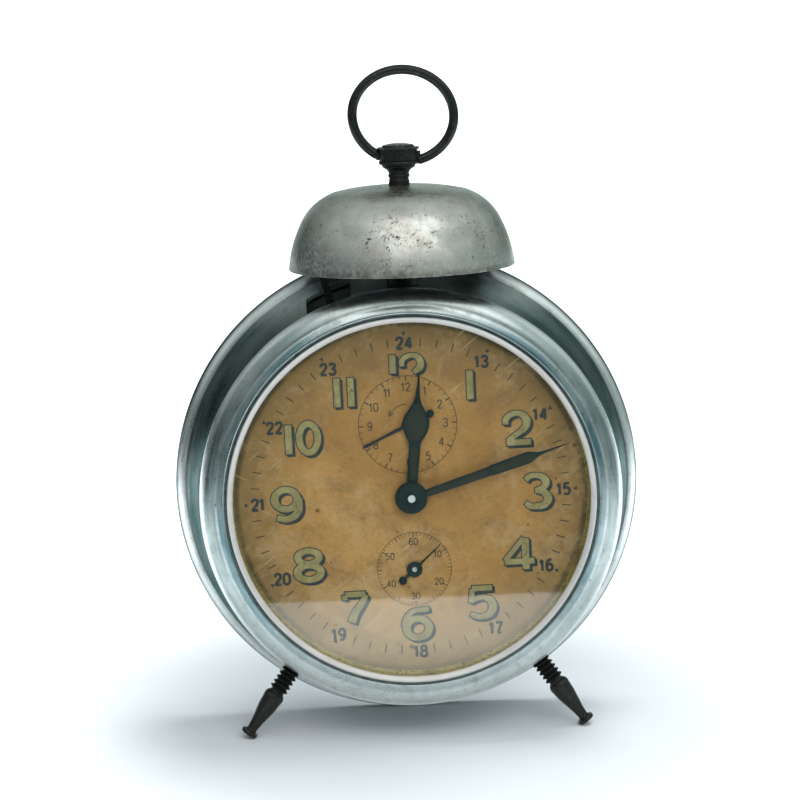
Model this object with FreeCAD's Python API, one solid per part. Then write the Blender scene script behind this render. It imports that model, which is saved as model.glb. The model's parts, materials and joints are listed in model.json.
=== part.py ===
import FreeCAD, Part
import math
import os

# One-bell wind-up alarm clock. Millimetres, +Z up, the dial looks toward -Y.
# Everything is drawn upright in the clock's own frame (Y = case axis, y = 0 at the bezel front) and then
# leaned back onto its feet and the rear rim.

os.makedirs("parts", exist_ok=True)
V = FreeCAD.Vector

# driving dimensions
opening_r = 45.0
glass_r = 46.2
ridge_r = 53.3
collar_r = 49.95
rim_r = 59.83
rim_y = 34.2
rim_roll = 0.6
skin = 0.7
dial_front = 6.5
dial_thick = 0.4
front_plate = (10.1, 10.9)
back_plate = (27.0, 27.9)
plate_r = 43.0
pillar_at = 40.0
foot_angle = 35.5
foot_y = 12.5
foot_end = 74.5
foot_disc_r = 2.45
bell_y = 17.0
bell_rim_z = 57.5
bell_top_z = 78.0
pin_z = 85.55
sub_dial = 18.5
dial_turn = 0.8
cover_y = 32.7
flat_cut = 0.22
fit = 0.05


# ---------------------------------------------------------------- helpers
def path_wire(start, steps, lift):
    """A closed wire from a start point and steps: (x, y) is a line, ((xm, ym), (x, y)) an arc."""
    edges = []
    here = start
    for step in steps + [start]:
        if isinstance(step[0], tuple):
            mid, end = step
            edges.append(Part.Arc(lift(here), lift(mid), lift(end)).toShape())
            here = end
        elif math.dist(here, step) > 1e-6:
            edges.append(Part.LineSegment(lift(here), lift(step)).toShape())
            here = step
    return Part.Wire(edges)


def spun(start, steps):
    """A body turned about the case axis; the profile is (radius, y)."""
    wire = path_wire(start, steps, lambda p: V(p[0], p[1], 0))
    return Part.Face(wire).revolve(V(0, 0, 0), V(0, 1, 0), 360)


def turned(start, steps, base, direction):
    """A body turned about a line; the profile is (radius, distance along the line)."""
    wire = path_wire(start, steps, lambda p: V(p[0], 0, p[1]))
    shape = Part.Face(wire).revolve(V(0, 0, 0), V(0, 0, 1), 360)
    shape.Placement = FreeCAD.Placement(base, FreeCAD.Rotation(V(0, 0, 1), direction))
    return shape


def flat(start, steps, y0, y1, turn=0.0, centre=(0.0, 0.0)):
    """A flat plate between two depths, its outline in (x, z), turned counter-clockwise in degrees."""
    wire = path_wire(start, steps, lambda p: V(p[0], y0, p[1]))
    shape = Part.Face(wire).extrude(V(0, y1 - y0, 0))
    shape.rotate(V(0, 0, 0), V(0, 1, 0), -turn)
    shape.translate(V(centre[0], 0, centre[1]))
    return shape


def rod(centre, radius, y0, y1):
    return Part.makeCylinder(radius, y1 - y0, V(centre[0], y0, centre[1]), V(0, 1, 0))


def pipe(centre, outer, inner, y0, y1):
    return rod(centre, outer, y0, y1).cut(rod(centre, inner, y0 - 1, y1 + 1))


def join(*shapes):
    out = shapes[0]
    if len(shapes) > 1:
        out = out.fuse(list(shapes[1:])).removeSplitter()
    return out


def polar(radius, degrees):
    """A point in (x, z), the angle counter-clockwise from +x as seen from the front."""
    a = math.radians(degrees)
    return (radius * math.cos(a), radius * math.sin(a))


def clock(radius, degrees):
    """A point in (x, z), the angle clockwise from twelve o'clock."""
    return polar(radius, 90 - degrees)


def shift(p, q):
    return (p[0] + q[0], p[1] + q[1])


def meet(c1, r1, c2, r2, side):
    """Where two circles cross; side +1 or -1 picks which crossing."""
    dx, dz = c2[0] - c1[0], c2[1] - c1[1]
    d = math.hypot(dx, dz)
    a = (r1 * r1 - r2 * r2 + d * d) / (2 * d)
    h = math.sqrt(r1 * r1 - a * a) * side
    return (c1[0] + (a * dx - h * dz) / d, c1[1] + (a * dz + h * dx) / d)


# ---------------------------------------------------------------- gears
pressure = math.radians(25)
backlash = 0.10


def involute(a):
    return math.tan(a) - a


def gear_outline(teeth, module, phase):
    """Corner points of an involute gear; phase is the angle of one tooth's middle, in degrees."""
    pitch_r = teeth * module / 2
    base_r = pitch_r * math.cos(pressure)
    root_r = pitch_r - module
    tip_r = pitch_r + 0.7 * module
    half = (math.pi * module / 2 - backlash) / (2 * pitch_r)
    low = max(base_r, root_r)
    radii = [low, (low + tip_r) / 2, tip_r]
    if root_r < base_r:
        radii.insert(0, root_r)
    flank = []
    for r in radii:
        swing = involute(pressure) - involute(math.acos(min(1.0, base_r / r)))
        flank.append((r, half + swing))
    points = []
    for k in range(teeth):
        middle = math.radians(phase) + 2 * math.pi * k / teeth
        points += [polar(r, math.degrees(middle - w)) for r, w in flank]
        points += [polar(r, math.degrees(middle + w)) for r, w in reversed(flank)]
    return points


def gear(centre, teeth, module, phase, y0, y1, bore=0.0, holes=0, first_hole=0.0):
    points = gear_outline(teeth, module, phase)
    shape = flat(points[0], points[1:], y0, y1, 0, centre)
    if bore:
        shape = shape.cut(rod(centre, bore, y0 - 1, y1 + 1))
    pitch_r = teeth * module / 2
    for k in range(holes):
        spot = shift(centre, polar(pitch_r * 0.56, first_hole + (k + 0.5) * 360 / holes))
        shape = shape.cut(rod(spot, pitch_r * 0.23, y0 - 1, y1 + 1))
    return shape


def meshed(c1, teeth1, phase1, c2, teeth2):
    """The phase of the second gear that puts a gap where the first has a tooth."""
    line = math.degrees(math.atan2(c2[1] - c1[1], c2[0] - c1[0]))
    u1 = (line - phase1) * teeth1 / 360
    return line + 180 - (0.5 - u1) * 360 / teeth2


# ---------------------------------------------------------------- arbor positions
centre = (0.0, 0.0)
time_barrel = (18.5, 9.7)
alarm_barrel = (-18.5, 9.7)
alarm_post = clock(sub_dial, -dial_turn)
seconds_post = clock(sub_dial, 180 - dial_turn)
great_module = 2 * math.hypot(*time_barrel) / (66 + 10)
third_post = meet(centre, 17.0, seconds_post, 16.2, 1)
escape_post = shift(seconds_post, polar(13.6, 156.6))
balance_post = (-24.0, -14.0)
pallet_post = meet(balance_post, 7.9, escape_post, 7.3, -1)
minute_post = (sub_dial * 0.625, 0.0)
motion_module = 2 * sub_dial * 0.625 / 50
minute_module = 2 * sub_dial * 0.625 / 48
fly_post = shift(alarm_barrel, polar(15.95, 95))
hammer_post = (-15.5, 35.5)
stop_rod = (-9.0, 31.0)

made = {}

# ---------------------------------------------------------------- case
made["case_body"] = spun(
    (collar_r, 3.3),
    [
        (collar_r, 6.45),
        (51.5, 6.45),
        ((52.9, 19.0), (57.2, 30.0)),
        ((59.25, 31.6), (rim_r, rim_y)),
        ((rim_r - rim_roll, rim_y + rim_roll), (rim_r - 2 * rim_roll, rim_y)),
        ((rim_r - 1.05, rim_y - 0.42), (rim_r - skin, rim_y - 0.6)),
        ((58.6, 32.15), (56.8, 30.65)),
        ((52.2, 19.4), (50.8, 7.65)),
        (46.0, 7.65),
        (46.0, 6.95),
        (collar_r - 0.75, 6.95),
        (collar_r - 0.75, 3.3),
    ],
)
envelope = spun(
    (0, 6.45),
    [(51.5, 6.45), ((52.9, 19.0), (57.2, 30.0)), ((59.25, 31.6), (rim_r, rim_y)), (0, rim_y)],
)
made["bezel"] = spun(
    (opening_r, 0.95),
    [
        ((opening_r + 0.5, 0.38), (opening_r + 1.15, 0.0)),
        ((opening_r + 1.38, 0.1), (46.5, 0.5)),
        (47.0, 1.5),
        ((47.6, 1.75), (48.15, 1.35)),
        ((48.3, 0.55), (48.75, 0.4)),
        ((49.15, 0.5), (49.4, 0.85)),
        ((51.9, 2.0), (ridge_r, 4.7)),
        ((ridge_r - 0.1, 5.75), (52.3, 6.35)),
        (50.0, 6.35),
        (50.0, 5.7),
        (51.9, 5.7),
        ((52.4, 5.4), (52.45, 4.9)),
        ((51.3, 2.85), (49.2, 1.85)),
        (48.9, 2.55),
        (46.25, 2.55),
        (46.25, 1.1),
        (opening_r, 1.1),
    ],
)
made["glass"] = rod(centre, glass_r, 1.12, 2.6)
made["dial_ring"] = spun(
    (45.35, 2.65),
    [
        (46.15, 2.65),
        (46.15, 5.75),
        (49.1, 5.75),
        (49.1, 6.48),
        (44.85, 6.48),
        (44.7, 6.2),
    ],
)
dial = rod(centre, 49.1, dial_front, dial_front + dial_thick)
dial = dial.cut(rod(centre, 2.7, 0, 9))
dial = dial.cut(rod(alarm_post, 1.1, 0, 9))
made["dial_plate"] = dial.cut(rod(seconds_post, 0.9, 0, 9))

# slot in the top for the hammer arm, and holes for the post and the feet
slot = Part.makeBox(11.3, 10.0, 16.0, V(-24.5, 15.0, 45.0))
made["case_body"] = made["case_body"].cut(slot)
post_hole = Part.makeCylinder(1.6, 20, V(0, bell_y, 45), V(0, 0, 1))
made["case_body"] = made["case_body"].cut(post_hole)

cover = spun(
    (0, cover_y),
    [
        (52.5, cover_y),
        (53.6, cover_y - 1.1),
        (55.2, cover_y - 1.1),
        (56.3, cover_y),
        (58.7, cover_y),
        (58.7, cover_y + 0.6),
        (56.1, cover_y + 0.6),
        (55.0, cover_y - 0.5),
        (53.8, cover_y - 0.5),
        (52.7, cover_y + 0.6),
        (0, cover_y + 0.6),
    ],
)
cover_holes = [(centre, 3.0), (time_barrel, 4.2), (alarm_barrel, 4.2), (alarm_post, 2.4), (stop_rod, 1.5)]
for spot, radius in cover_holes:
    cover = cover.cut(rod(spot, radius, 30, 36))
for k in range(5):
    left = clock(43.0, -24 + 12 * k)
    cover = cover.cut(rod(left, 1.5, 30, 36))
slot_ends = [polar(r, a) for r, a in ((13.9, 241), (13.9, 275), (16.5, 275), (16.5, 241))]
window = flat(slot_ends[0], [(polar(13.9, 258), slot_ends[1]), slot_ends[2], (polar(16.5, 258), slot_ends[3])],
              30, 36, 0, balance_post)
cover = cover.cut(window)
screw_spots = [clock(pillar_at, a) for a in (0, 180 - foot_angle, 180 + foot_angle)]
for spot in screw_spots:
    cover = cover.cut(rod(spot, 1.45, 30, 36))
made["back_cover"] = cover

screws = []
for spot in screw_spots:
    head = turned((0, 0), [(2.6, 0), (2.6, 0.6), ((1.6, 1.3), (0.3, 1.5)), (0, 1.5)], V(spot[0], cover_y + 0.6, spot[1]), V(0, 1, 0))
    slit = Part.makeBox(6.0, 1.0, 0.6, V(spot[0] - 3.0, cover_y + 1.5, spot[1] - 0.3))
    screws.append(head.fuse(rod(spot, 1.3, 28.9, cover_y + 0.6)).removeSplitter().cut(slit))
made["cover_screws"] = Part.makeCompound(screws)

# ---------------------------------------------------------------- feet, bell and handle
foot_profile = [
    (1.2, 39.0),
    (1.2, 51.0),
    (2.75, 51.0),
    (2.75, 55.6),
    ((2.6, 55.9), (2.0, 56.0)),
]
for k in range(3):
    mid = 56.95 + 1.7 * k
    foot_profile += [((2.5, mid), (2.0, mid + 0.75))]
foot_profile += [
    ((1.8, 61.5), (2.0, 61.9)),
    ((2.62, 64.4), (2.2, 68.0)),
    ((1.5, 71.2), (1.45, 72.9)),
    ((1.75, 73.35), (foot_disc_r, 73.6)),
    ((foot_disc_r + 0.1, 74.05), (foot_disc_r, foot_end)),
    (0, foot_end),
]
foot_tilt = math.radians(foot_angle)
direction = V(-math.sin(foot_tilt), 0, -math.cos(foot_tilt))
foot = turned((0, 39.0), foot_profile, V(0, foot_y, 0), direction)
stem = turned((0, 39.0), [(1.2, 39.0), (1.2, 52.0), (0, 52.0)], V(0, foot_y, 0), direction)
made["left_foot"] = foot.cut(envelope).fuse(stem).removeSplitter()
for side in (-1, 1):
    along = V(side * direction.x * -1, 0, direction.z)
    hole = Part.makeCylinder(1.25, 20, V(0, foot_y, 0) + along * 36, along)
    made["case_body"] = made["case_body"].cut(hole)

bell = turned(
    (1.55, 20.5),
    [
        (1.55, 19.3),
        ((9.2, 19.1), (16.9, 17.75)),
        ((21.6, 14.7), (24.4, 10.5)),
        ((26.5, 5.4), (27.4, 0)),
        (28.6, 0),
        ((28.65, 0.35), (28.35, 0.6)),
        ((27.55, 5.6), (25.6, 10.9)),
        ((22.4, 15.6), (17.4, 18.9)),
        ((9.2, 20.3), (1.55, 20.5)),
    ],
    V(0, bell_y, bell_rim_z),
    V(0, 0, 1),
)
made["bell"] = bell
made["bell_washer"] = turned((1.55, 76.25), [(4.2, 76.25), (4.2, 76.72), (1.55, 76.72)], V(0, bell_y, 0), V(0, 0, 1))
post = turned(
    (0, 41.2),
    [
        (1.5, 41.2),
        (1.5, 51.5),
        (4.0, 51.5),
        (4.0, 54.6),
        ((2.9, 55.0), (2.6, 56.2)),
        (2.6, 75.0),
        (3.4, 75.4),
        (3.4, 76.25),
        (1.5, 76.25),
        (1.5, 83.4),
        (0, 83.4),
    ],
    V(0, bell_y, 0),
    V(0, 0, 1),
)
stem = Part.makeCylinder(1.5, 14, V(0, bell_y, 41.2), V(0, 0, 1))
made["bell_post"] = post.cut(envelope).fuse(stem).removeSplitter()

head = turned(
    (0, 78.0),
    [
        (2.65, 78.0),
        (2.65, 79.3),
        ((2.45, 79.75), (2.65, 80.2)),
        ((2.75, 80.5), (2.6, 80.9)),
        ((2.75, 81.6), (3.4, 82.2)),
        ((3.9, 82.55), (4.2, 82.7)),
        (4.2, 83.3),
        (4.75, 83.3),
        ((5.05, 83.8), (4.75, 84.3)),
        (4.55, 84.4),
        (4.55, 87.05),
        (5.2, 87.15),
        ((5.4, 87.4), (5.2, 87.65)),
        (4.15, 87.7),
        ((3.95, 88.1), (3.5, 88.3)),
        ((2.2, 88.55), (0.5, 88.6)),
        (0, 88.6),
    ],
    V(0, bell_y, 0),
    V(0, 0, 1),
)
head = head.cut(Part.makeCylinder(1.52, 6, V(0, bell_y, 77.6), V(0, 0, 1)))
for side in (-1, 1):
    head = head.cut(Part.makeCylinder(0.8 + fit, 4, V(side * 2.9, bell_y, pin_z), V(side, 0, 0)))
made["handle_head"] = head

# the ring: an oval of round wire whose ends turn into two pivot pins
ring_a, ring_b, wire_r = 12.72, 11.48, 1.175
ring_z = 95.75
start_x = 5.85
oval = Part.Ellipse(V(0, 0, 0), ring_a, ring_b)
a0 = math.asin(start_x / ring_a)
spine = Part.Wire([oval.toShape(-math.pi / 2 + a0, 3 * math.pi / 2 - a0)])
spine.rotate(V(0, 0, 0), V(1, 0, 0), 90)
spine.translate(V(0, bell_y, ring_z))
begin = spine.Vertexes[0].Point
if begin.x < 0:
    begin = spine.Vertexes[-1].Point
tangent = V(ring_a * math.cos(a0), 0, ring_b * math.sin(a0))
section = Part.Wire([Part.makeCircle(wire_r, begin, tangent)])
hoop = spine.makePipeShell([section], True, True)
pins = []
for side in (-1, 1):
    end = V(side * start_x, bell_y, ring_z - ring_b * math.cos(a0))
    pins.append(Part.makeSphere(wire_r, end))
    pins.append(Part.makeCylinder(0.8, 3.6, V(side * 3.05, bell_y, pin_z), V(side, 0, 0)))
made["ring_handle"] = join(hoop, *pins)

# ---------------------------------------------------------------- movement frame
front = rod(centre, plate_r, *front_plate)
back = rod(centre, plate_r, *back_plate)
arbor_holes = {
    "centre": (centre, 0.8),
    "third": (third_post, 0.5),
    "seconds": (seconds_post, 0.6),
    "escape": (escape_post, 0.4),
    "pallet": (pallet_post, 0.4),
    "balance": (balance_post, 0.35),
    "time": (time_barrel, 2.0),
    "alarm": (alarm_barrel, 2.0),
    "alarm_set": (alarm_post, 0.8),
    "fly": (fly_post, 0.5),
    "hammer": (hammer_post, 0.7),
}
for spot, radius in arbor_holes.values():
    front = front.cut(rod(spot, radius + fit, 9, 12))
    back = back.cut(rod(spot, radius + fit, 26, 29))
back = back.cut(rod(stop_rod, 0.8 + fit, 26, 29))
pillars = {"pillar_top": 0, "pillar_right": 180 - foot_angle, "pillar_left": 180 + foot_angle}
nuts = []
for name, angle in pillars.items():
    spot = clock(pillar_at, angle)
    post_y = bell_y if name == "pillar_top" else foot_y
    bore_r = 1.5 if name == "pillar_top" else 1.2
    bar = rod(spot, 3.0, front_plate[1], back_plate[0])
    bar = bar.fuse([rod(spot, 1.3, 9.2, 12), rod(spot, 1.3, 26, 28.9)]).removeSplitter()
    out = V(spot[0], 0, spot[1]).normalize()
    bar = bar.cut(Part.makeCylinder(bore_r, 6, V(0, post_y, 0) + out * (41.2 if bore_r > 1.3 else 39.0), out))
    made[name] = bar
    front = front.cut(rod(spot, 1.3, 9, 12))
    back = back.cut(rod(spot, 1.3, 26, 29))
    points = [shift(spot, polar(2.5, 60 * k)) for k in range(6)]
    nuts.append(flat(points[0], points[1:], 9.2, front_plate[0]).cut(rod(spot, 1.3, 8, 12)))
    nuts.append(flat(points[0], points[1:], back_plate[1], 28.85).cut(rod(spot, 1.3, 26, 30)))
bridge_pin = rod(minute_post, 0.6, 7.3, 10.4)
front = front.fuse(bridge_pin).removeSplitter()
made["front_plate"] = front
made["back_plate"] = back
made["plate_nuts"] = Part.makeCompound(nuts)


def spiral(centre_at, inner, outer, turns, thick, y0, y1, start):
    """A flat coil spring: two offset spirals joined at their ends."""
    count = int(turns * 10)
    sides = []
    for edge in (-thick / 2, thick / 2):
        points = []
        for k in range(count + 1):
            r = inner + (outer - inner) * k / count + edge
            x, z = shift(centre_at, polar(r, start + 360 * turns * k / count))
            points.append(V(x, y0, z))
        curve = Part.BSplineCurve()
        curve.interpolate(points)
        sides.append(curve.toShape())
    first = Part.LineSegment(sides[0].Vertexes[0].Point, sides[1].Vertexes[0].Point).toShape()
    last = Part.LineSegment(sides[0].Vertexes[-1].Point, sides[1].Vertexes[-1].Point).toShape()
    wire = Part.Wire(Part.__sortEdges__([sides[0], last, sides[1], first]))
    return Part.Face(wire).extrude(V(0, y1 - y0, 0))


# ---------------------------------------------------------------- winding: arbor, great wheel, ratchet, click, key
def winding(name, post, teeth, phase, spring_r, spring_end):
    wheel = gear(post, teeth, great_module, phase, 12.2, 13.2, 2.0 + fit, 4, 90)
    click_post = shift(post, (0, 9.6))
    made[name + "_great_wheel"] = join(wheel, rod(click_post, 0.6, 12.6, 14.3))
    points = []
    for k in range(12):
        points.append(shift(post, polar(6.0, 63 + 30 * k)))
        points.append(shift(post, polar(4.9, 66 + 30 * k)))
    made[name + "_ratchet"] = flat(points[0], points[1:], 13.3, 14.1).cut(rod(post, 2.0, 12, 15))
    click = flat((-0.9, 0.9), [(0.9, 0.9), (3.25, -3.2), (2.55, -3.3), (-0.9, -0.6)], 13.35, 14.05, 0, click_post)
    made[name + "_click"] = click.cut(rod(click_post, 0.6 + fit, 12, 15))
    arbor = join(rod(post, 2.0, 10.2, 37.6), rod(post, 3.0, 14.15, 14.7))
    made[name + "_winding_arbor"] = arbor
    made[name + "_mainspring"] = spiral(post, 3.9, spring_r, 7, 0.5, 15.0, spring_end, 20)
    stem = turned(
        (0, 34.6),
        [(3.4, 34.6), (3.4, 36.4), ((2.9, 37.0), (2.9, 37.6)), (2.9, 40.2), ((2.0, 41.35), (0.5, 41.6)), (0, 41.6)],
        V(post[0], 0, post[1]),
        V(0, 1, 0),
    )
    stem = stem.cut(rod(post, 2.0, 30, 37.6))
    wing = flat(
        (-2.2, -2.4),
        [
            ((0, -2.0), (2.2, -2.4)),
            ((6.8, -5.4), (9.8, -1.6)),
            ((10.2, 0), (9.8, 1.6)),
            ((6.8, 5.4), (2.2, 2.4)),
            ((0, 2.0), (-2.2, 2.4)),
            ((-6.8, 5.4), (-9.8, 1.6)),
            ((-10.2, 0), (-9.8, -1.6)),
            ((-6.8, -5.4), (-2.2, -2.4)),
        ],
        -0.9,
        0.9,
    )
    wing.rotate(V(0, 0, 0), V(1, 0, 0), 90)
    wing.translate(V(0, 42.6, 0))
    wing.rotate(V(0, 0, 0), V(0, 1, 0), -28)
    wing.translate(V(post[0], 0, post[1]))
    made[name + "_winding_key"] = join(stem, wing)


centre_phase = 4.0
great_phase = meshed(centre, 10, centre_phase, time_barrel, 66)
winding("time", time_barrel, 66, great_phase, 13.4, 21.0)
fly_phase = 10.0
alarm_great_phase = meshed(fly_post, 8, fly_phase, alarm_barrel, 50)
winding("alarm", alarm_barrel, 50, alarm_great_phase, 10.4, 20.2)

# ---------------------------------------------------------------- going train
pinion = gear(centre, 10, great_module, centre_phase, 11.9, 14.0, 0)
made["centre_pinion"] = join(pinion, rod(centre, 1.6, 11.2, 24.2)).cut(rod(centre, 0.8 + fit, 10, 26))
wheel_phase = 1.0
made["centre_wheel"] = gear(centre, 60, 0.5, wheel_phase, 22.5, 23.3, 1.6, 5)
made["centre_arbor"] = join(rod(centre, 0.8, 3.4, 39.6), rod(centre, 1.5, 24.4, 25.2))

third_phase = meshed(centre, 60, wheel_phase, third_post, 8)
made["third_wheel"] = join(
    gear(third_post, 64, 0.45, 2.0, 24.7, 25.3, 0, 5),
    gear(third_post, 8, 0.5, third_phase, 21.9, 23.9, 0),
    rod(third_post, 0.9, 11.1, 26.8),
    rod(third_post, 0.5, front_plate[0], back_plate[1]),
)

fourth_phase = meshed(third_post, 64, 2.0, seconds_post, 8)
made["seconds_arbor"] = join(
    gear(seconds_post, 8, 0.45, fourth_phase, 24.2, 25.8, 0),
    rod(seconds_post, 0.9, 11.1, 26.8),
    rod(seconds_post, 0.6, 5.45, back_plate[1]),
)
made["fourth_wheel"] = gear(seconds_post, 60, 0.4, 0.0, 18.0, 18.7, 0.9, 5)

def toothed(post, teeth, tip_r, root_r, lean, y0, y1, bore):
    """A wheel with pointed leaning teeth."""
    points = []
    for k in range(teeth):
        a = k * 360 / teeth
        points.append(shift(post, polar(tip_r, a)))
        points.append(shift(post, polar(tip_r, a + 3)))
        points.append(shift(post, polar(root_r, a + lean)))
        points.append(shift(post, polar(root_r, a + 360 / teeth - 3)))
    return flat(points[0], points[1:], y0, y1).cut(rod(post, bore, y0 - 1, y1 + 1))


escape_phase = meshed(seconds_post, 60, 0.0, escape_post, 8)
made["escape_wheel"] = join(
    gear(escape_post, 8, 0.4, escape_phase, 17.3, 19.3, 0),
    rod(escape_post, 0.8, 11.1, 26.8),
    rod(escape_post, 0.4, front_plate[0], back_plate[1]),
    toothed(escape_post, 15, 5.5, 4.3, 9, 20.6, 21.2, 0.5),
)

to_escape = math.degrees(math.atan2(escape_post[1] - pallet_post[1], escape_post[0] - pallet_post[0]))
to_balance = math.degrees(math.atan2(balance_post[1] - pallet_post[1], balance_post[0] - pallet_post[0]))
lever_parts = [
    rod(pallet_post, 0.7, 11.1, 26.8),
    rod(pallet_post, 0.4, front_plate[0], back_plate[1]),
    rod(pallet_post, 1.3, 19.6, 20.2),
]
for side in (-1, 1):
    pin_at = shift(escape_post, polar(6.3, to_escape + 180 + side * 40))
    pin_far = math.dist(pin_at, pallet_post)
    pin_dir = math.degrees(math.atan2(pin_at[1] - pallet_post[1], pin_at[0] - pallet_post[0]))
    lever_parts.append(flat((0, -0.5), [(pin_far, -0.4), ((pin_far + 0.4, 0), (pin_far, 0.4)), (0, 0.5)],
                            19.6, 20.2, pin_dir, pallet_post))
    lever_parts.append(rod(pin_at, 0.25, 20.0, 21.6))
fork = flat(
    (0, -0.6),
    [(4.6, -0.6), (5.2, -1.6), (6.15, -1.6), (6.15, -0.9), (5.5, -0.9), (5.5, 0.9), (6.15, 0.9), (6.15, 1.6),
     (5.2, 1.6), (4.6, 0.6), (0, 0.6)],
    19.6, 20.2, to_balance, pallet_post,
)
made["pallet_lever"] = join(fork, *lever_parts)

made["balance_staff"] = join(
    rod(balance_post, 0.7, 11.1, 26.8),
    rod(balance_post, 0.35, front_plate[0], back_plate[1]),
    rod(balance_post, 2.2, 21.0, 21.6),
    rod(balance_post, 1.15, 24.3, 25.1),
    rod(shift(balance_post, polar(1.65, to_balance + 180)), 0.28, 19.4, 21.2),
)
rim_ring = pipe(balance_post, 7.0, 6.0, 22.5, 23.7)
arm = Part.makeBox(12.6, 0.7, 1.6, V(balance_post[0] - 6.3, 22.8, balance_post[1] - 0.8))
hub = rod(balance_post, 1.7, 22.5, 23.7)
made["balance_wheel"] = join(rim_ring, arm, hub).cut(rod(balance_post, 0.7, 20, 26))
made["hairspring"] = spiral(balance_post, 1.2, 4.6, 6, 0.16, 24.4, 25.0, 200)
arm_far = 15.9
lever = flat((0, -1.0), [(arm_far - 2.5, -0.7), ((arm_far, 0), (arm_far - 2.5, 0.7)), (0, 1.0)], 28.05, 28.55, 258,
             balance_post)
lever = join(lever, rod(balance_post, 2.4, 28.05, 28.55), rod(shift(balance_post, polar(15.2, 258)), 0.7, 28.2, 34.2))
made["regulator_lever"] = lever.cut(rod(balance_post, 0.95, 27, 30))
boss = pipe(balance_post, 0.9, 0.35 + fit, back_plate[1] - 0.3, 28.9)
made["back_plate"] = join(made["back_plate"].cut(rod(balance_post, 0.88, back_plate[1] - 0.3, 30)), boss)

# ---------------------------------------------------------------- motion works
cannon_phase = 0.0
made["cannon_pinion"] = join(
    gear(centre, 12, minute_module, cannon_phase, 9.0, 9.9, 0),
    rod(centre, 1.55, 3.5, 9.9),
).cut(rod(centre, 0.8, 2, 12))
minute_phase = meshed(centre, 12, cannon_phase, minute_post, 36)
leaf_phase = 5.0
made["minute_wheel"] = join(
    gear(minute_post, 36, minute_module, minute_phase, 9.15, 9.7, 0),
    gear(minute_post, 10, motion_module, leaf_phase, 7.4, 9.2, 0),
).cut(rod(minute_post, 0.6 + fit, 6, 12))
hour_phase = meshed(minute_post, 10, leaf_phase, centre, 40)
made["hour_wheel"] = join(
    gear(centre, 40, motion_module, hour_phase, 7.6, 8.2, 0),
    rod(centre, 2.3, 4.6, 8.6),
).cut(rod(centre, 1.55 + fit, 2, 12))
alarm_phase = meshed(centre, 40, hour_phase, alarm_post, 40)
made["alarm_wheel"] = gear(alarm_post, 40, motion_module, alarm_phase, 7.6, 8.2, 0.8 + fit)
made["alarm_arbor"] = join(
    rod(alarm_post, 0.8, 5.35, 39.0),
    rod(alarm_post, 1.6, 8.4, 9.2),
    rod(alarm_post, 1.5, 25.2, 26.6),
)

# ---------------------------------------------------------------- hands
hour_angle = 6.2 - dial_turn
minute_angle = 73.4 - dial_turn
alarm_angle = 245.5 - dial_turn
second_angle = 48.4 - dial_turn
made["hour_hand"] = flat(
    (-1.35, 2.0),
    [
        (-1.45, 14.0),
        ((-2.75, 16.2), (-3.4, 19.0)),
        ((-2.3, 21.9), (-0.75, 25.0)),
        (-0.3, 29.0),
        (0, 31.9),
        (0.3, 29.0),
        (0.75, 25.0),
        ((2.3, 21.9), (3.4, 19.0)),
        ((2.75, 16.2), (1.45, 14.0)),
        (1.35, 2.0),
    ],
    4.75, 5.1, -hour_angle,
)
made["hour_hand"] = join(made["hour_hand"], rod(centre, 4.1, 4.75, 5.1)).cut(rod(centre, 2.3, 2, 7))
made["minute_hand"] = flat(
    (-0.95, 2.0),
    [(-1.2, 21.0), (-1.5, 30.8), ((-1.2, 32.6), (-0.4, 34.8)), (0, 42.0), (0.4, 34.8),
     ((1.2, 32.6), (1.5, 30.8)), (1.2, 21.0), (0.95, 2.0)],
    3.7, 4.0, -minute_angle,
)
made["minute_hand"] = join(made["minute_hand"], rod(centre, 3.9, 3.7, 4.0)).cut(rod(centre, 1.55, 2, 7))
made["hand_pin"] = turned((0, 2.95), [((0.7, 3.0), (0.95, 3.25)), (0.95, 3.5), (0.8, 3.5), (0.8, 3.4), (0, 3.4)],
                          V(0, 0, 0), V(0, 1, 0))
made["alarm_hand"] = join(
    flat((-0.28, -6.0), [(0.28, -6.0), (0.42, 1.0), ((0.95, 6.6), (0.5, 9.6)), (0.0, 12.9), (-0.5, 9.6),
                         ((-0.95, 6.6), (-0.42, 1.0))], 5.6, 5.85, -alarm_angle, alarm_post),
    rod(alarm_post, 1.6, 5.6, 5.85),
    rod(shift(alarm_post, clock(6.3, alarm_angle + 180)), 1.0, 5.6, 5.85),
).cut(rod(alarm_post, 0.8, 2, 7))
made["seconds_hand"] = join(
    flat((-0.25, -4.0), [(0.25, -4.0), (0.42, 0.0), (0.12, 9.1), (-0.12, 9.1), (-0.42, 0.0)], 5.65, 5.9,
         -second_angle, seconds_post),
    rod(seconds_post, 2.0, 5.65, 5.9),
    rod(shift(seconds_post, clock(4.1, second_angle + 180)), 1.1, 5.65, 5.9),
).cut(rod(seconds_post, 0.6, 2, 7))

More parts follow.
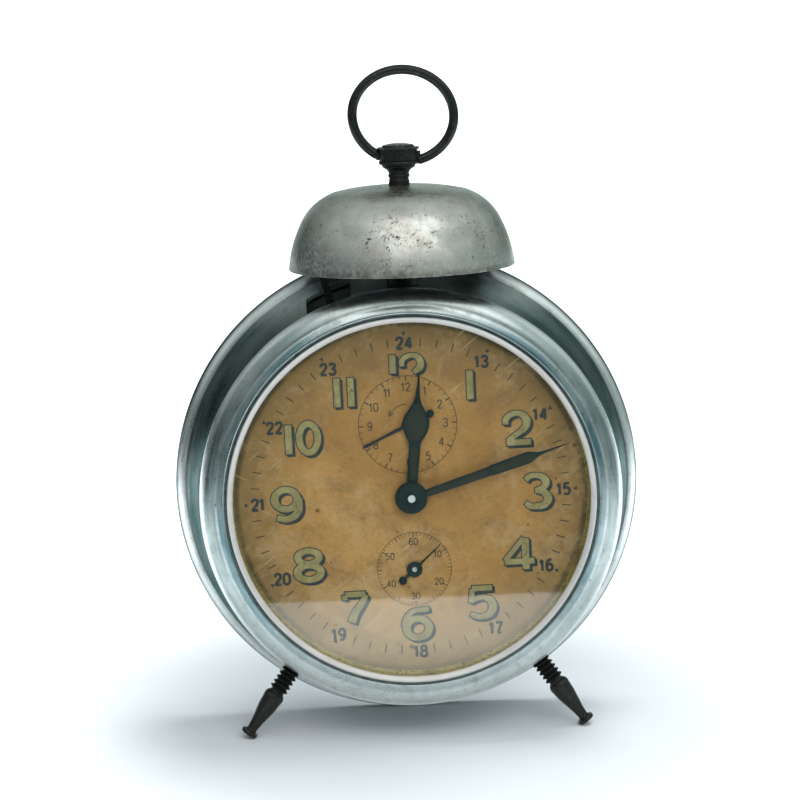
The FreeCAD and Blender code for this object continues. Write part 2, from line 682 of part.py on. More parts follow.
# ---------------------------------------------------------------- alarm work
made["alarm_escape_wheel"] = join(
    gear(fly_post, 8, great_module, fly_phase, 11.9, 13.6, 0),
    rod(fly_post, 0.9, 11.1, 26.8),
    rod(fly_post, 0.5, front_plate[0], back_plate[1]),
    toothed(fly_post, 12, 5.0, 3.9, 11, 21.6, 22.2, 0.5),
)
to_head = math.degrees(math.atan2(61.6 - hammer_post[1], -21.3 - hammer_post[0]))
head_far = math.dist((-21.3, 61.6), hammer_post)
to_fly = math.degrees(math.atan2(fly_post[1] - hammer_post[1], fly_post[0] - hammer_post[0]))
made["hammer"] = join(
    rod(hammer_post, 1.0, 11.1, 26.8),
    rod(hammer_post, 0.7, front_plate[0], back_plate[1]),
    flat((0, -1.3), [(head_far, -0.7), (head_far, 0.7), (0, 1.3)], 16.4, 17.6, to_head, hammer_post),
    Part.makeCylinder(2.2, 5.2, V(-21.3 - 2.2, bell_y, 61.6), V(1, 0, 0)),
    flat((-1.2, -1.6), [(5.3, -2.2), (5.3, -1.4), (1.6, -0.6), (1.6, 0.6), (5.3, 1.4), (5.3, 2.2), (-1.2, 1.6)],
         21.6, 22.2, to_fly, hammer_post),
)
made["alarm_stop_rod"] = join(
    rod(stop_rod, 0.8, 24.4, 36.4),
    turned((0, 36.0), [(1.6, 36.0), ((2.3, 36.6), (2.5, 37.6)), ((2.0, 39.0), (0.4, 39.6)),
                     (0, 39.6)],
           V(stop_rod[0], 0, stop_rod[1]), V(0, 1, 0)),
    rod(stop_rod, 1.3, 29.4, 30.0),
)


def knob(post, radius, y0, y1, bore, ridges):
    """A knurled knob: scalloped edge, domed end."""
    shape = turned(
        (0, y0),
        [(radius * 0.55, y0), (radius * 0.55, y0 + 1.6), (radius, y0 + 2.0), (radius, y1 - 0.9),
         ((radius * 0.8, y1 - 0.2), (0.5, y1)), (0, y1)],
        V(post[0], 0, post[1]),
        V(0, 1, 0),
    )
    for k in range(ridges):
        spot = shift(post, polar(radius + 0.25, 360 * k / ridges))
        shape = shape.cut(rod(spot, 0.5, y0 + 1.8, y1 + 1))
    return shape.cut(rod(post, bore, y0 - 1, y1 - 1.6))


made["time_set_knob"] = knob(centre, 4.6, 34.8, 41.2, 0.8, 20)
made["alarm_set_knob"] = knob(alarm_post, 3.6, 34.8, 40.6, 0.8, 16)

# ---------------------------------------------------------------- lean back onto two feet and the rear rim
def lowest_foot(a):
    p = math.radians(foot_angle)
    along = foot_y * math.sin(a) + foot_end * math.cos(p) * math.cos(a)
    return along + foot_disc_r * math.sqrt((math.cos(a) * math.sin(p)) ** 2 + math.sin(a) ** 2)


def lowest_rim(a):
    return rim_y * math.sin(a) + (rim_r - rim_roll) * math.cos(a) + rim_roll


low, high = math.radians(1), math.radians(15)
for k in range(60):
    lean = (low + high) / 2
    if lowest_foot(lean) > lowest_rim(lean):
        low = lean
    else:
        high = lean
rise = lowest_rim(lean) - flat_cut

upright = FreeCAD.Placement(V(0, 0, rise), FreeCAD.Rotation(V(1, 0, 0), -math.degrees(lean)))
floor = Part.makeBox(400, 400, 50, V(-200, -200, -50))
grounded = ("case_body", "left_foot")
placed = {}
for name, shape in made.items():
    moved = shape.copy()
    moved.transformShape(upright.toMatrix(), True)
    if name in grounded:
        moved = moved.cut(floor)
    placed[name] = moved

placed["right_foot"] = placed["left_foot"].mirror(V(0, 0, 0), V(1, 0, 0))

whole = Part.makeCompound(list(placed.values())).optimalBoundingBox(True, False)
centring = V(0, -(whole.YMin + whole.YMax) / 2, 0)
for name, shape in placed.items():
    shape.translate(centring)
    if shape.ShapeType == "Compound" and len(shape.Solids) == 1:
        shape = shape.Solids[0]
    shape.exportStep("parts/" + name + ".step")

print("lean", math.degrees(lean), "rise", rise, "centring", centring.y)
print("size", whole.XMin, whole.XMax, whole.YLength, whole.ZMin, whole.ZMax)
for name, spot in (("third", third_post), ("escape", escape_post), ("pallet", pallet_post), ("fly", fly_post),
                   ("alarm", alarm_post), ("seconds", seconds_post), ("minute", minute_post)):
    print(name, spot)
for name, shape in placed.items():
    box = shape.BoundBox
    if box.ZMin < 1:
        print("low", name, box.ZMin, shape.optimalBoundingBox(True, False).ZMin)
    if len(shape.Solids) != 1 or not shape.isValid():
        print("CHECK", name, len(shape.Solids), shape.isValid(), shape.ShapeType)
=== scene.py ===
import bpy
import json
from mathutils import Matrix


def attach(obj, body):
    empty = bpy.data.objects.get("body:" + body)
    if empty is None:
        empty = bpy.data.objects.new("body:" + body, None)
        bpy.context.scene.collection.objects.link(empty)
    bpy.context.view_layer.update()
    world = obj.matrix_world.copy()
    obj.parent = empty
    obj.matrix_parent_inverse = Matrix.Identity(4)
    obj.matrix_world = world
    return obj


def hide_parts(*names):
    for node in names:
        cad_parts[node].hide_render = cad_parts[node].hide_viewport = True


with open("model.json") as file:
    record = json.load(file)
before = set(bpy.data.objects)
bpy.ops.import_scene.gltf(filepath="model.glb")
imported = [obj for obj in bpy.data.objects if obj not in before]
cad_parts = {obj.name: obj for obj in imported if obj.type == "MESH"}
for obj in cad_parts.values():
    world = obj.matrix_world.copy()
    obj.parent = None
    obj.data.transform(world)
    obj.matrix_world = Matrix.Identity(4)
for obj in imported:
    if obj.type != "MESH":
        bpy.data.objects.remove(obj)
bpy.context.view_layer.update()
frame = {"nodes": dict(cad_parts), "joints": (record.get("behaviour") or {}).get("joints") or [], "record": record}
import bpy, bmesh, math, json
from mathutils import Vector, Matrix, noise

# One-bell wind-up alarm clock. Every piece is drawn in the clock's own upright frame, in mm: x right, y along
# the case axis away from the viewer, z up, 0 at the bezel's front and on the case axis. CLOCK stands it in
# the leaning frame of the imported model, by the axis of the hands.

MM = 0.001
hands = next(j for j in frame["joints"] if j["name"] == "hands_set")
AXIS = Vector(hands["axis"]).normalized()
RIGHT = Vector((1, 0, 0))
UP = RIGHT.cross(AXIS)
HANDS_Y = 18.0  # where the hands' joint lies along the axis
ORIGIN = Vector(hands["pos_m"]) - AXIS * HANDS_Y * MM
CLOCK = Matrix.Translation(ORIGIN) @ Matrix((RIGHT, AXIS, UP)).transposed().to_4x4()
PRINT_TURN = math.radians(0.8)  # the printed dial sits slightly turned
DIAL_Y = 6.5  # the dial's front face
SUB_DIAL = 18.5  # from the middle to the middle of each small dial
FOOT_Y, FOOT_LEAN = 12.5, math.radians(35.5)
BELL_Y, PIN_Z = 17.0, 85.55  # the bell's post, and the height of the ring's pins
POST, UPWARD = (0, BELL_Y, 0), (0, 0, 1)
INK = 0.02  # how far thin print stands up


# ------------------------------------------------------------------ mesh helpers
def arc_points(a, m, b, step=7.0):
    """Points from a to b on the circle through a, m, b, without a itself."""
    ax, ay, mx, my, bx, by = *a, *m, *b
    d = 2 * (ax * (my - by) + mx * (by - ay) + bx * (ay - my))
    if abs(d) < 1e-9:
        return [b]
    sa, sm, sb = ax * ax + ay * ay, mx * mx + my * my, bx * bx + by * by
    cx = (sa * (my - by) + sm * (by - ay) + sb * (ay - my)) / d
    cy = (sa * (bx - mx) + sm * (ax - bx) + sb * (mx - ax)) / d
    r = math.hypot(ax - cx, ay - cy)
    t0 = math.atan2(ay - cy, ax - cx)
    tm = math.atan2(my - cy, mx - cx)
    t1 = math.atan2(by - cy, bx - cx)
    sweep = (t1 - t0) % (2 * math.pi)
    if (tm - t0) % (2 * math.pi) > sweep:
        sweep -= 2 * math.pi
    count = max(2, int(math.ceil(abs(math.degrees(sweep)) / step)))
    return [(cx + r * math.cos(t0 + sweep * k / count), cy + r * math.sin(t0 + sweep * k / count))
            for k in range(1, count + 1)]


def profile(start, steps, step=7.0):
    """A closed profile as points: (r, h) is a line, ((rm, hm), (r, h)) an arc."""
    out = [start]
    for s in steps:
        if isinstance(s[0], tuple):
            out += arc_points(out[-1], s[0], s[1], step)
        else:
            out.append(s)
    return out


def place(name, data):
    """A new object with this data, linked to the scene."""
    obj = bpy.data.objects.new(name, data)
    bpy.context.scene.collection.objects.link(obj)
    return obj


def finish_mesh(name, verts, faces, body, material, nodes, smooth=38.0):
    """A piece from vertices in the clock frame (metres), on its body, standing for its CAD nodes."""
    mesh = bpy.data.meshes.new(name)
    mesh.from_pydata([tuple(CLOCK @ Vector(v)) for v in verts], [], faces)
    bm = bmesh.new()
    bm.from_mesh(mesh)
    bmesh.ops.remove_doubles(bm, verts=bm.verts, dist=1e-7)
    bmesh.ops.dissolve_degenerate(bm, edges=bm.edges, dist=1e-7)
    bmesh.ops.recalc_face_normals(bm, faces=bm.faces)
    bm.to_mesh(mesh)
    bm.free()
    for p in mesh.polygons:
        p.use_smooth = True
    mesh.set_sharp_from_angle(angle=math.radians(smooth))
    obj = place(name, mesh)
    mesh.materials.append(material)
    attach(obj, body)
    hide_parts(*nodes)
    return obj


def lathe_mesh(points, base=(0, 0, 0), along=(0, 1, 0), segments=192, wave=None):
    """Vertices (metres, clock frame) and faces of a closed profile turned about a line."""
    w = Vector(along).normalized()
    u = Vector((1, 0, 0)) if abs(w.x) < 0.9 else Vector((0, 0, 1))
    u = (u - w * u.dot(w)).normalized()
    v = w.cross(u)
    base = Vector(base)
    verts, faces, ring = [], [], []
    for r, h in points:
        if r < 1e-6:
            ring.append([len(verts)] * segments)
            verts.append((base + w * h) * MM)
            continue
        row = []
        for k in range(segments):
            a = 2 * math.pi * k / segments
            rr, hh = r, h
            if wave:
                dr, dh = wave(r, h, a)
                rr, hh = r + dr, h + dh
            row.append(len(verts))
            verts.append((base + w * hh + (u * math.cos(a) + v * math.sin(a)) * rr) * MM)
        ring.append(row)
    n = len(points)
    for i in range(n):
        a, b = ring[i], ring[(i + 1) % n]
        for k in range(segments):
            q = (a[k], a[(k + 1) % segments], b[(k + 1) % segments], b[k])
            f = tuple(dict.fromkeys(q))
            if len(f) > 2:
                faces.append(f)
    return verts, faces


def lathe(name, points, body, material, nodes, base=(0, 0, 0), along=(0, 1, 0), segments=192,
          wave=None):
    verts, faces = lathe_mesh(points, base, along, segments, wave)
    return finish_mesh(name, verts, faces, body, material, nodes)


def uneven(amount, seed, turns=3.0, grain=0.12):
    """Small unevenness of a hand-polished turned surface."""
    def wave(r, h, a):
        p = Vector((math.cos(a) * turns + seed, math.sin(a) * turns, (r + h) * grain))
        q = Vector((math.cos(a) * turns * 3.1, math.sin(a) * turns * 3.1 + seed, (r - h) * grain * 2))
        return amount * noise.noise(p), amount * 0.6 * noise.noise(q)
    return wave


def cut(obj, cutter_verts, cutter_faces):
    """Takes a closed solid away from the object for good."""
    mesh = bpy.data.meshes.new("cutter")
    mesh.from_pydata([tuple(CLOCK @ Vector(v)) for v in cutter_verts], [], cutter_faces)
    bm = bmesh.new()
    bm.from_mesh(mesh)
    bmesh.ops.recalc_face_normals(bm, faces=bm.faces)
    bm.to_mesh(mesh)
    bm.free()
    tool = place("cutter", mesh)
    bpy.context.view_layer.update()
    mod = obj.modifiers.new("cut", "BOOLEAN")
    mod.object = tool
    mod.operation = "DIFFERENCE"
    mod.solver = "EXACT"
    dg = bpy.context.evaluated_depsgraph_get()
    fresh = bpy.data.meshes.new_from_object(obj.evaluated_get(dg))
    obj.modifiers.clear()
    old = obj.data
    obj.data = fresh
    bpy.data.meshes.remove(old)
    bpy.data.objects.remove(tool)
    bpy.data.meshes.remove(mesh)
    for p in fresh.polygons:
        p.use_smooth = True
    fresh.set_sharp_from_angle(angle=math.radians(38))


def box_mesh(x0, x1, y0, y1, z0, z1):
    v = [Vector((x, y, z)) * MM for x in (x0, x1) for y in (y0, y1) for z in (z0, z1)]
    f = [(0, 1, 3, 2), (4, 6, 7, 5), (0, 4, 5, 1), (2, 3, 7, 6), (0, 2, 6, 4), (1, 5, 7, 3)]
    return v, f


def polar(radius, degrees):
    a = math.radians(degrees)
    return (radius * math.cos(a), radius * math.sin(a))


def clock_at(radius, degrees):
    return polar(radius, 90 - degrees)


# ------------------------------------------------------------------ material helpers
def add_node(tree, kind, inputs=None, **props):
    """A shader node; each input is another node's socket or a plain value."""
    n = tree.nodes.new("ShaderNode" + kind)
    for k, v in props.items():
        setattr(n, k, v)
    for k, v in (inputs or {}).items():
        if isinstance(v, bpy.types.NodeSocket):
            tree.links.new(v, n.inputs[k])
        else:
            n.inputs[k].default_value = v
    return n


class Paint:
    """A short way to build node materials."""

    def __init__(self, name):
        self.m = bpy.data.materials.new(name)
        self.m.use_nodes = True
        self.t = self.m.node_tree
        self.t.nodes.clear()
        self.out = self.t.nodes.new("ShaderNodeOutputMaterial")
        coords = self.t.nodes.new("ShaderNodeTexCoord").outputs["Object"]
        self.obj = self.node("Mapping", {"Vector": coords, "Location": ORIGIN, "Rotation": CLOCK.to_euler()},
                             vector_type="TEXTURE").outputs[0]

    def node(self, kind, inputs=None, **props):
        return add_node(self.t, kind, inputs, **props)

    def math(self, op, *values, clamp=False):
        return self.node("Math", dict(enumerate(values)), operation=op, use_clamp=clamp).outputs[0]

    def mul(self, a, b):
        return self.math("MULTIPLY", a, b)

    def add(self, a, b):
        return self.math("ADD", a, b)

    def sub(self, a, b):
        return self.math("SUBTRACT", a, b)

    def length(self, a, b):
        return self.math("SQRT", self.add(self.mul(a, a), self.mul(b, b)))

    def noise(self, scale, detail=4.0, rough=0.55, vector=None, distortion=0.0):
        n = self.node("TexNoise", {"Vector": vector or self.obj, "Scale": scale, "Detail": detail,
                                   "Roughness": rough, "Distortion": distortion})
        return n.outputs["Fac"]

    def band(self, value, lo, hi, out_lo=0.0, out_hi=1.0):
        """A soft step from out_lo to out_hi as the value goes from lo to hi."""
        n = self.node("MapRange", {"Value": value, "From Min": lo, "From Max": hi, "To Min": out_lo,
                                   "To Max": out_hi}, interpolation_type="SMOOTHSTEP")
        return n.outputs["Result"]

    def patch(self, scale, detail, rough, lo, hi, out_lo=0.0, out_hi=1.0):
        """Noise cut into soft-edged patches."""
        return self.band(self.noise(scale, detail, rough), lo, hi, out_lo, out_hi)

    def mix(self, fac, a, b):
        n = self.t.nodes.new("ShaderNodeMix")
        n.data_type = "RGBA"
        for s, v in ((n.inputs[0], fac), (n.inputs[6], a), (n.inputs[7], b)):
            if isinstance(v, bpy.types.NodeSocket):
                self.t.links.new(v, s)
            else:
                s.default_value = (*v, 1.0) if isinstance(v, tuple) and len(v) == 3 else v
        return n.outputs[2]

    def xyz(self, vector=None):
        n = self.node("SeparateXYZ", {0: vector or self.obj})
        return n.outputs[0], n.outputs[1], n.outputs[2]

    def vec(self, x, y, z):
        return self.node("CombineXYZ", {0: x, 1: y, 2: z}).outputs[0]

    def bump(self, height, strength, distance):
        return self.node("Bump", {"Height": height, "Strength": strength, "Distance": distance}).outputs[0]

    def close(self, shader):
        self.t.links.new(shader.outputs[0], self.out.inputs[0])
        return self.m

    def surface(self, **inputs):
        names = {k.replace("_", " "): v for k, v in inputs.items()}
        for k, v in list(names.items()):
            if isinstance(v, tuple) and len(v) == 3:
                names[k] = (*v, 1.0)
        return self.close(self.node("BsdfPrincipled", names))


def spun_vector(p, turns, grain):
    """Coordinates that run round the case axis, so that noise becomes fine circular streaks."""
    x, y, z = p.xyz()
    r = p.length(x, z)
    rr = p.math("MAXIMUM", r, 0.0001)
    depth = p.mul(p.add(r, y), grain)
    return p.vec(p.mul(p.math("DIVIDE", x, rr), turns), p.mul(p.math("DIVIDE", z, rr), turns), depth), r, y


def zone(p, r, lo, hi, soft=0.0004):
    """One between two radii, zero outside."""
    return p.mul(p.band(r, lo - soft, lo + soft), p.band(r, hi + soft, hi - soft))


def nickel(name, rough, tint, tarnish, spun, pits=0.0, brass=0.0, zones=(), edge=(0.85, 0.9, 0.9)):
    """Worn nickel plate, with painted highlights and painted shade laid in rings. A zone is (from radius, to
    radius, colour, least, most, bottom part, top part).
    """
    p = Paint(name)
    if spun:
        v, r, y = spun_vector(p, 5.0, 900.0)
        streak = p.noise(1.0, 6.0, 0.6, v)
        v2, _, _ = spun_vector(p, 2.2, 160.0)
        bands = p.noise(1.0, 3.0, 0.5, v2)
    else:
        streak = p.noise(900.0, 5.0, 0.6)
        bands = p.noise(70.0, 3.0, 0.5)
    blotch = p.noise(85.0, 5.0, 0.62, None, 0.6)
    fine = p.noise(1500.0, 3.0, 0.6)
    colour = p.mix(p.band(blotch, 0.42, 0.72, 0.0, tarnish), tint, (0.29, 0.33, 0.31))
    colour = p.mix(p.band(bands, 0.35, 0.7, 0.0, 0.4), colour, (0.50, 0.56, 0.54))
    colour = p.mix(p.band(streak, 0.52, 0.78, 0.0, 0.35), colour, (0.36, 0.40, 0.38))
    speck = p.patch(620.0, 2.0, 0.5, 0.70, 0.76, 0.0, 0.7)
    colour = p.mix(speck, colour, (0.16, 0.17, 0.14))
    if zones:
        x, _, z = p.xyz()
        mottle = p.mul(p.patch(520.0, 6.0, 0.75, 0.50, 0.66), p.band(blotch, 0.35, 0.6, 0.25, 1.0))
        colour = p.mix(p.mul(mottle, 0.5), colour, (0.25, 0.25, 0.235))
        for lo, hi, zone_colour, least, most, low_part, high_part in zones:
            inside = p.mul(zone(p, r, lo * MM, hi * MM), p.band(bands, 0.35, 0.65, least, most))
            # painted light and shade: each zone's strength changes from the bottom to the top of the ring, as the
            # reflections do
            fade = p.mul(p.band(z, -0.048, -0.018, low_part, 1.0), p.band(z, 0.040, 0.050, 1.0, high_part))
            colour = p.mix(p.mul(inside, fade), colour, zone_colour)
        # painted shade: the case and bezel darkened just beneath the bell
        under_bell_shade = p.mul(p.band(z, 0.046, 0.052), p.band(p.math("ABSOLUTE", x), 0.036, 0.022))
        colour = p.mix(p.mul(under_bell_shade, p.band(r, 0.0495, 0.052, 0.0, 0.85)), colour, (0.060, 0.085, 0.092))
    if brass:
        worn = p.patch(420.0, 6.0, 0.7, 0.60, 0.70, 0.0, brass)
        colour = p.mix(worn, colour, (0.55, 0.42, 0.20))
    roughness = p.add(p.band(streak, 0.3, 0.75, rough - 0.05, rough + 0.12),
                      p.band(blotch, 0.45, 0.8, 0.0, 0.16))
    metallic = 1.0
    if zones:
        lip = p.mul(zone(p, r, 44.0 * MM, 46.3 * MM), p.band(y, 0.004, 0.0035))
        roughness = p.add(roughness, p.mul(lip, 0.22))
        metallic = p.sub(1.0, p.mul(lip, 0.35))
    height = p.add(p.mul(streak, 0.6), p.mul(fine, 0.25))
    if pits:
        x, _, z = p.xyz()
        low = p.mul(p.band(z, 0.0775, 0.066),
                    p.band(p.math("ABSOLUTE", p.sub(x, 0.005)), 0.026, 0.012, 0.25, 1.0))
        where = p.mul(p.patch(70.0, 5.0, 0.65, 0.36, 0.54, 0.15, 1.0), p.add(0.35, p.mul(low, 0.65)))
        pit = p.mul(p.band(p.noise(1350.0, 3.0, 0.6, None, 0.8), 0.57, 0.61),
                    p.patch(260.0, 5.0, 0.7, 0.44, 0.56))
        grime = p.mul(p.band(p.noise(650.0, 7.0, 0.8, None, 0.5), 0.555, 0.62),
                      p.patch(130.0, 4.0, 0.6, 0.50, 0.60))
        mask = p.math("MULTIPLY", p.mul(p.math("MAXIMUM", pit, grime), where), pits, clamp=True)
        colour = p.mix(p.mul(p.patch(75.0, 6.0, 0.75, 0.44, 0.66), 0.55 * pits), colour, (0.40, 0.355, 0.30))
        if not spun:
            rim = p.mul(p.band(z, 0.0598, 0.0576), p.patch(210.0, 6.0, 0.7, 0.38, 0.62, 0.1, 0.7))
            colour = p.mix(rim, colour, (0.17, 0.165, 0.13))
        colour = p.mix(mask, colour, (0.045, 0.027, 0.017))
        roughness = p.add(roughness, p.mul(mask, 0.35))
        metallic = p.sub(1.0, p.mul(mask, 0.6))
        height = p.sub(height, mask)
    return p.surface(Base_Color=colour, Metallic=metallic, Roughness=roughness, Specular_Tint=edge,
                     Normal=p.bump(height, 0.22, 0.00006))


def bronze(name):
    p = Paint(name)
    blotch = p.noise(240.0, 5.0, 0.65)
    fine = p.noise(1400.0, 4.0, 0.6)
    wear = p.patch(420.0, 5.0, 0.7, 0.58, 0.76, 0.0, 0.6)
    colour = p.mix(blotch, (0.010, 0.016, 0.016), (0.036, 0.037, 0.031))
    colour = p.mix(wear, colour, (0.13, 0.095, 0.06))
    return p.surface(Base_Color=colour, Metallic=0.75,
                     Roughness=p.band(fine, 0.3, 0.7, 0.26, 0.50),
                     Normal=p.bump(fine, 0.3, 0.00008))


def plain_metal(name, base, dark, rough_lo, rough_hi, metallic=1.0, scales=(160.0, 1300.0),
                worn=(0.4, 0.75, 0.8)):
    p = Paint(name)
    blotch, fine = p.noise(scales[0], 5.0, 0.6), p.noise(scales[1], 4.0, 0.6)
    colour = p.mix(p.band(blotch, worn[0], worn[1], 0.0, worn[2]), base, dark)
    return p.surface(Base_Color=colour, Metallic=metallic,
                     Roughness=p.band(fine, 0.3, 0.7, rough_lo, rough_hi), Normal=p.bump(fine, 0.2, 0.00005))


def blued_metal(name):
    p = Paint(name)
    blotch = p.noise(260.0, 4.0, 0.6)
    fine = p.noise(1500.0, 4.0, 0.6)
    colour = p.mix(blotch, (0.002, 0.011, 0.013), (0.005, 0.021, 0.022))
    colour = p.mix(p.band(fine, 0.62, 0.75, 0.0, 0.35), colour, (0.06, 0.07, 0.055))
    return p.surface(Base_Color=colour, Metallic=0.1, Roughness=p.band(blotch, 0.3, 0.7, 0.34, 0.5),
                     Specular_IOR_Level=0.3, Normal=p.bump(fine, 0.15, 0.00004))


def fibre_board(name):
    p = Paint(name)
    grain = p.noise(900.0, 5.0, 0.7)
    colour = p.mix(grain, (0.05, 0.018, 0.010), (0.13, 0.05, 0.026))
    return p.surface(Base_Color=colour, Roughness=p.band(grain, 0.3, 0.7, 0.45, 0.65),
                     Normal=p.bump(grain, 0.25, 0.00006))


def glass_sheet(name):
    """Clear pane: lets light straight through and mirrors by its angle; faint dust on it."""
    p = Paint(name)
    dust = p.patch(260.0, 6.0, 0.7, 0.50, 0.80, 0.0, 0.006)
    clear = p.node("BsdfTransparent", {"Color": (0.985, 0.995, 0.985, 1.0)})
    shine = p.node("BsdfGlossy", {"Color": (1.0, 1.0, 1.0, 1.0), "Roughness": 0.02})
    film = p.node("BsdfDiffuse", {"Color": (0.80, 0.80, 0.78, 1.0)})
    slant = p.node("LayerWeight", {"Blend": 0.5}).outputs["Facing"]
    mirror = p.math("MULTIPLY_ADD", p.math("POWER", slant, 5.0), 0.9, 0.038)
    a = p.node("MixShader", {0: mirror, 1: clear.outputs[0], 2: shine.outputs[0]})
    b = p.node("MixShader", {0: dust, 1: a.outputs[0], 2: film.outputs[0]})
    return p.close(b)


def dial_paper(name):
    p = Paint(name)
    x, y, z = p.xyz()
    r = p.length(x, z)
    cloud = p.noise(38.0, 5.0, 0.6, None, 0.4)
    mottle = p.noise(170.0, 5.0, 0.65)
    grain = p.noise(1500.0, 3.0, 0.6)
    colour = p.mix(p.band(cloud, 0.32, 0.72), (0.282, 0.145, 0.038), (0.400, 0.221, 0.066))
    colour = p.mix(p.band(mottle, 0.40, 0.75, 0.0, 0.45), colour, (0.318, 0.182, 0.062))
    stain = p.mul(p.band(p.noise(95.0, 8.0, 0.78, None, 0.2), 0.48, 0.64), 0.55)
    colour = p.mix(stain, colour, (0.176, 0.102, 0.040))
    colour = p.mix(p.band(mottle, 0.62, 0.30, 0.0, 0.22), colour, (0.459, 0.298, 0.126))
    # darker toward the outer edge
    ragged = p.sub(mottle, 0.5)
    edge = p.band(p.add(r, p.mul(ragged, 0.008)), 0.026, 0.046, 0.0, 0.66)
    colour = p.mix(edge, colour, (0.147, 0.105, 0.048))
    # painted shade: darker toward the top
    colour = p.mix(p.band(z, 0.004, 0.046, 0.0, 0.30), colour, (0.176, 0.111, 0.050))
    # painted shade: a dark ring round the rim, under the bezel
    rim = p.band(p.add(r, p.mul(ragged, 0.001)), 0.0430, 0.0440, 0.0, 0.82)
    colour = p.mix(rim, colour, (0.050, 0.047, 0.021))
    # painted light: lighter toward the bottom
    colour = p.mix(p.band(z, -0.018, -0.040, 0.0, 0.42), colour, (0.459, 0.344, 0.197))
    # faint pale ring and pale scuffs
    ring = p.mul(p.band(p.math("ABSOLUTE", p.sub(r, 0.0262)), 0.0013, 0.0002),
                 p.patch(60.0, 3.0, 0.6, 0.45, 0.65, 0.0, 0.35))
    colour = p.mix(ring, colour, (0.424, 0.309, 0.166))

    def across(angle, stretch, offset, fineness):
        """Coordinates for long thin marks that run at this angle."""
        turned = p.node("VectorRotate", {"Vector": p.obj, "Angle": math.radians(angle)},
                        rotation_type="Y_AXIS")
        tx, _, tz = p.xyz(turned.outputs[0])
        return p.vec(p.mul(tx, stretch), offset, p.mul(tz, fineness))

    rising, falling = across(38, 60.0, 0.0, 900.0), across(-24, 40.0, 3.0, 1300.0)
    scratch = p.mul(p.band(p.noise(1.0, 4.0, 0.6, rising), 0.60, 0.70),
                    p.patch(70.0, 3.0, 0.6, 0.46, 0.62, 0.0, 0.75))
    colour = p.mix(scratch, colour, (0.471, 0.353, 0.202))
    scratch = p.mul(p.band(p.noise(1.0, 3.0, 0.6, falling), 0.64, 0.72),
                    p.patch(55.0, 3.0, 0.6, 0.50, 0.65, 0.0, 0.65))
    colour = p.mix(scratch, colour, (0.447, 0.331, 0.181))
    dark_scratch = p.mul(p.band(p.noise(1.0, 4.0, 0.65, falling), 0.40, 0.33),
                         p.patch(95.0, 4.0, 0.6, 0.48, 0.62, 0.0, 0.5))
    colour = p.mix(dark_scratch, colour, (0.118, 0.066, 0.028))
    smear = p.mul(p.band(p.noise(75.0, 7.0, 0.78, None, 0.25), 0.48, 0.66), 0.42)
    colour = p.mix(smear, colour, (0.447, 0.309, 0.162))
    soil = p.patch(800.0, 6.0, 0.75, 0.50, 0.68, 0.0, 0.42)
    colour = p.mix(soil, colour, (0.176, 0.099, 0.038))
    # brown specks
    cells = p.node("TexVoronoi", {"Vector": p.obj, "Scale": 300.0}).outputs["Distance"]
    speck = p.mul(p.band(cells, 0.12, 0.06), p.patch(90.0, 2.0, 0.5, 0.55, 0.62, 0.0, 0.7))
    colour = p.mix(speck, colour, (0.059, 0.025, 0.010))
    big = p.node("TexVoronoi", {"Vector": p.obj, "Scale": 95.0}).outputs["Distance"]
    spot = p.mul(p.band(big, 0.07, 0.03), p.patch(47.0, 2.0, 0.5, 0.52, 0.6, 0.0, 0.75))
    colour = p.mix(spot, colour, (0.076, 0.028, 0.010))
    return p.surface(Base_Color=colour, Roughness=p.band(grain, 0.3, 0.7, 0.55, 0.72),
                     Specular_IOR_Level=0.25, Normal=p.bump(p.add(grain, mottle), 0.18, 0.00008))


def ink(name, colour_a, colour_b, fade=0.35):
    p = Paint(name)
    n = p.noise(700.0, 4.0, 0.65)
    worn = p.patch(420.0, 5.0, 0.7, 0.55, 0.75, 0.0, fade)
    colour = p.mix(n, colour_a, colour_b)
    colour = p.mix(worn, colour, (0.20, 0.15, 0.09))
    return p.surface(Base_Color=colour, Roughness=p.band(n, 0.3, 0.7, 0.45, 0.62), Specular_IOR_Level=0.3)


def lume_paint(name):
    p = Paint(name)
    n = p.noise(330.0, 5.0, 0.65)
    fine = p.noise(1500.0, 4.0, 0.6)
    colour = p.mix(p.band(n, 0.3, 0.7), (0.205, 0.178, 0.072), (0.300, 0.262, 0.125))
    colour = p.mix(p.patch(120.0, 3.0, 0.6, 0.45, 0.7, 0.0, 0.5), colour, (0.19, 0.17, 0.085))
    edge = p.node("TexVoronoi", {"Vector": p.obj, "Scale": 330.0, "Randomness": 1.0},
                  feature="DISTANCE_TO_EDGE").outputs["Distance"]
    crack = p.mul(p.band(edge, 0.035, 0.008), p.patch(150.0, 3.0, 0.6, 0.47, 0.6, 0.0, 0.75))
    colour = p.mix(crack, colour, (0.10, 0.09, 0.05))
    colour = p.mix(p.band(fine, 0.66, 0.76, 0.0, 0.5), colour, (0.16, 0.14, 0.07))
    return p.surface(Base_Color=colour, Roughness=p.band(fine, 0.3, 0.7, 0.6, 0.85), Specular_IOR_Level=0.2,
                     Normal=p.bump(p.sub(n, crack), 0.35, 0.0001))


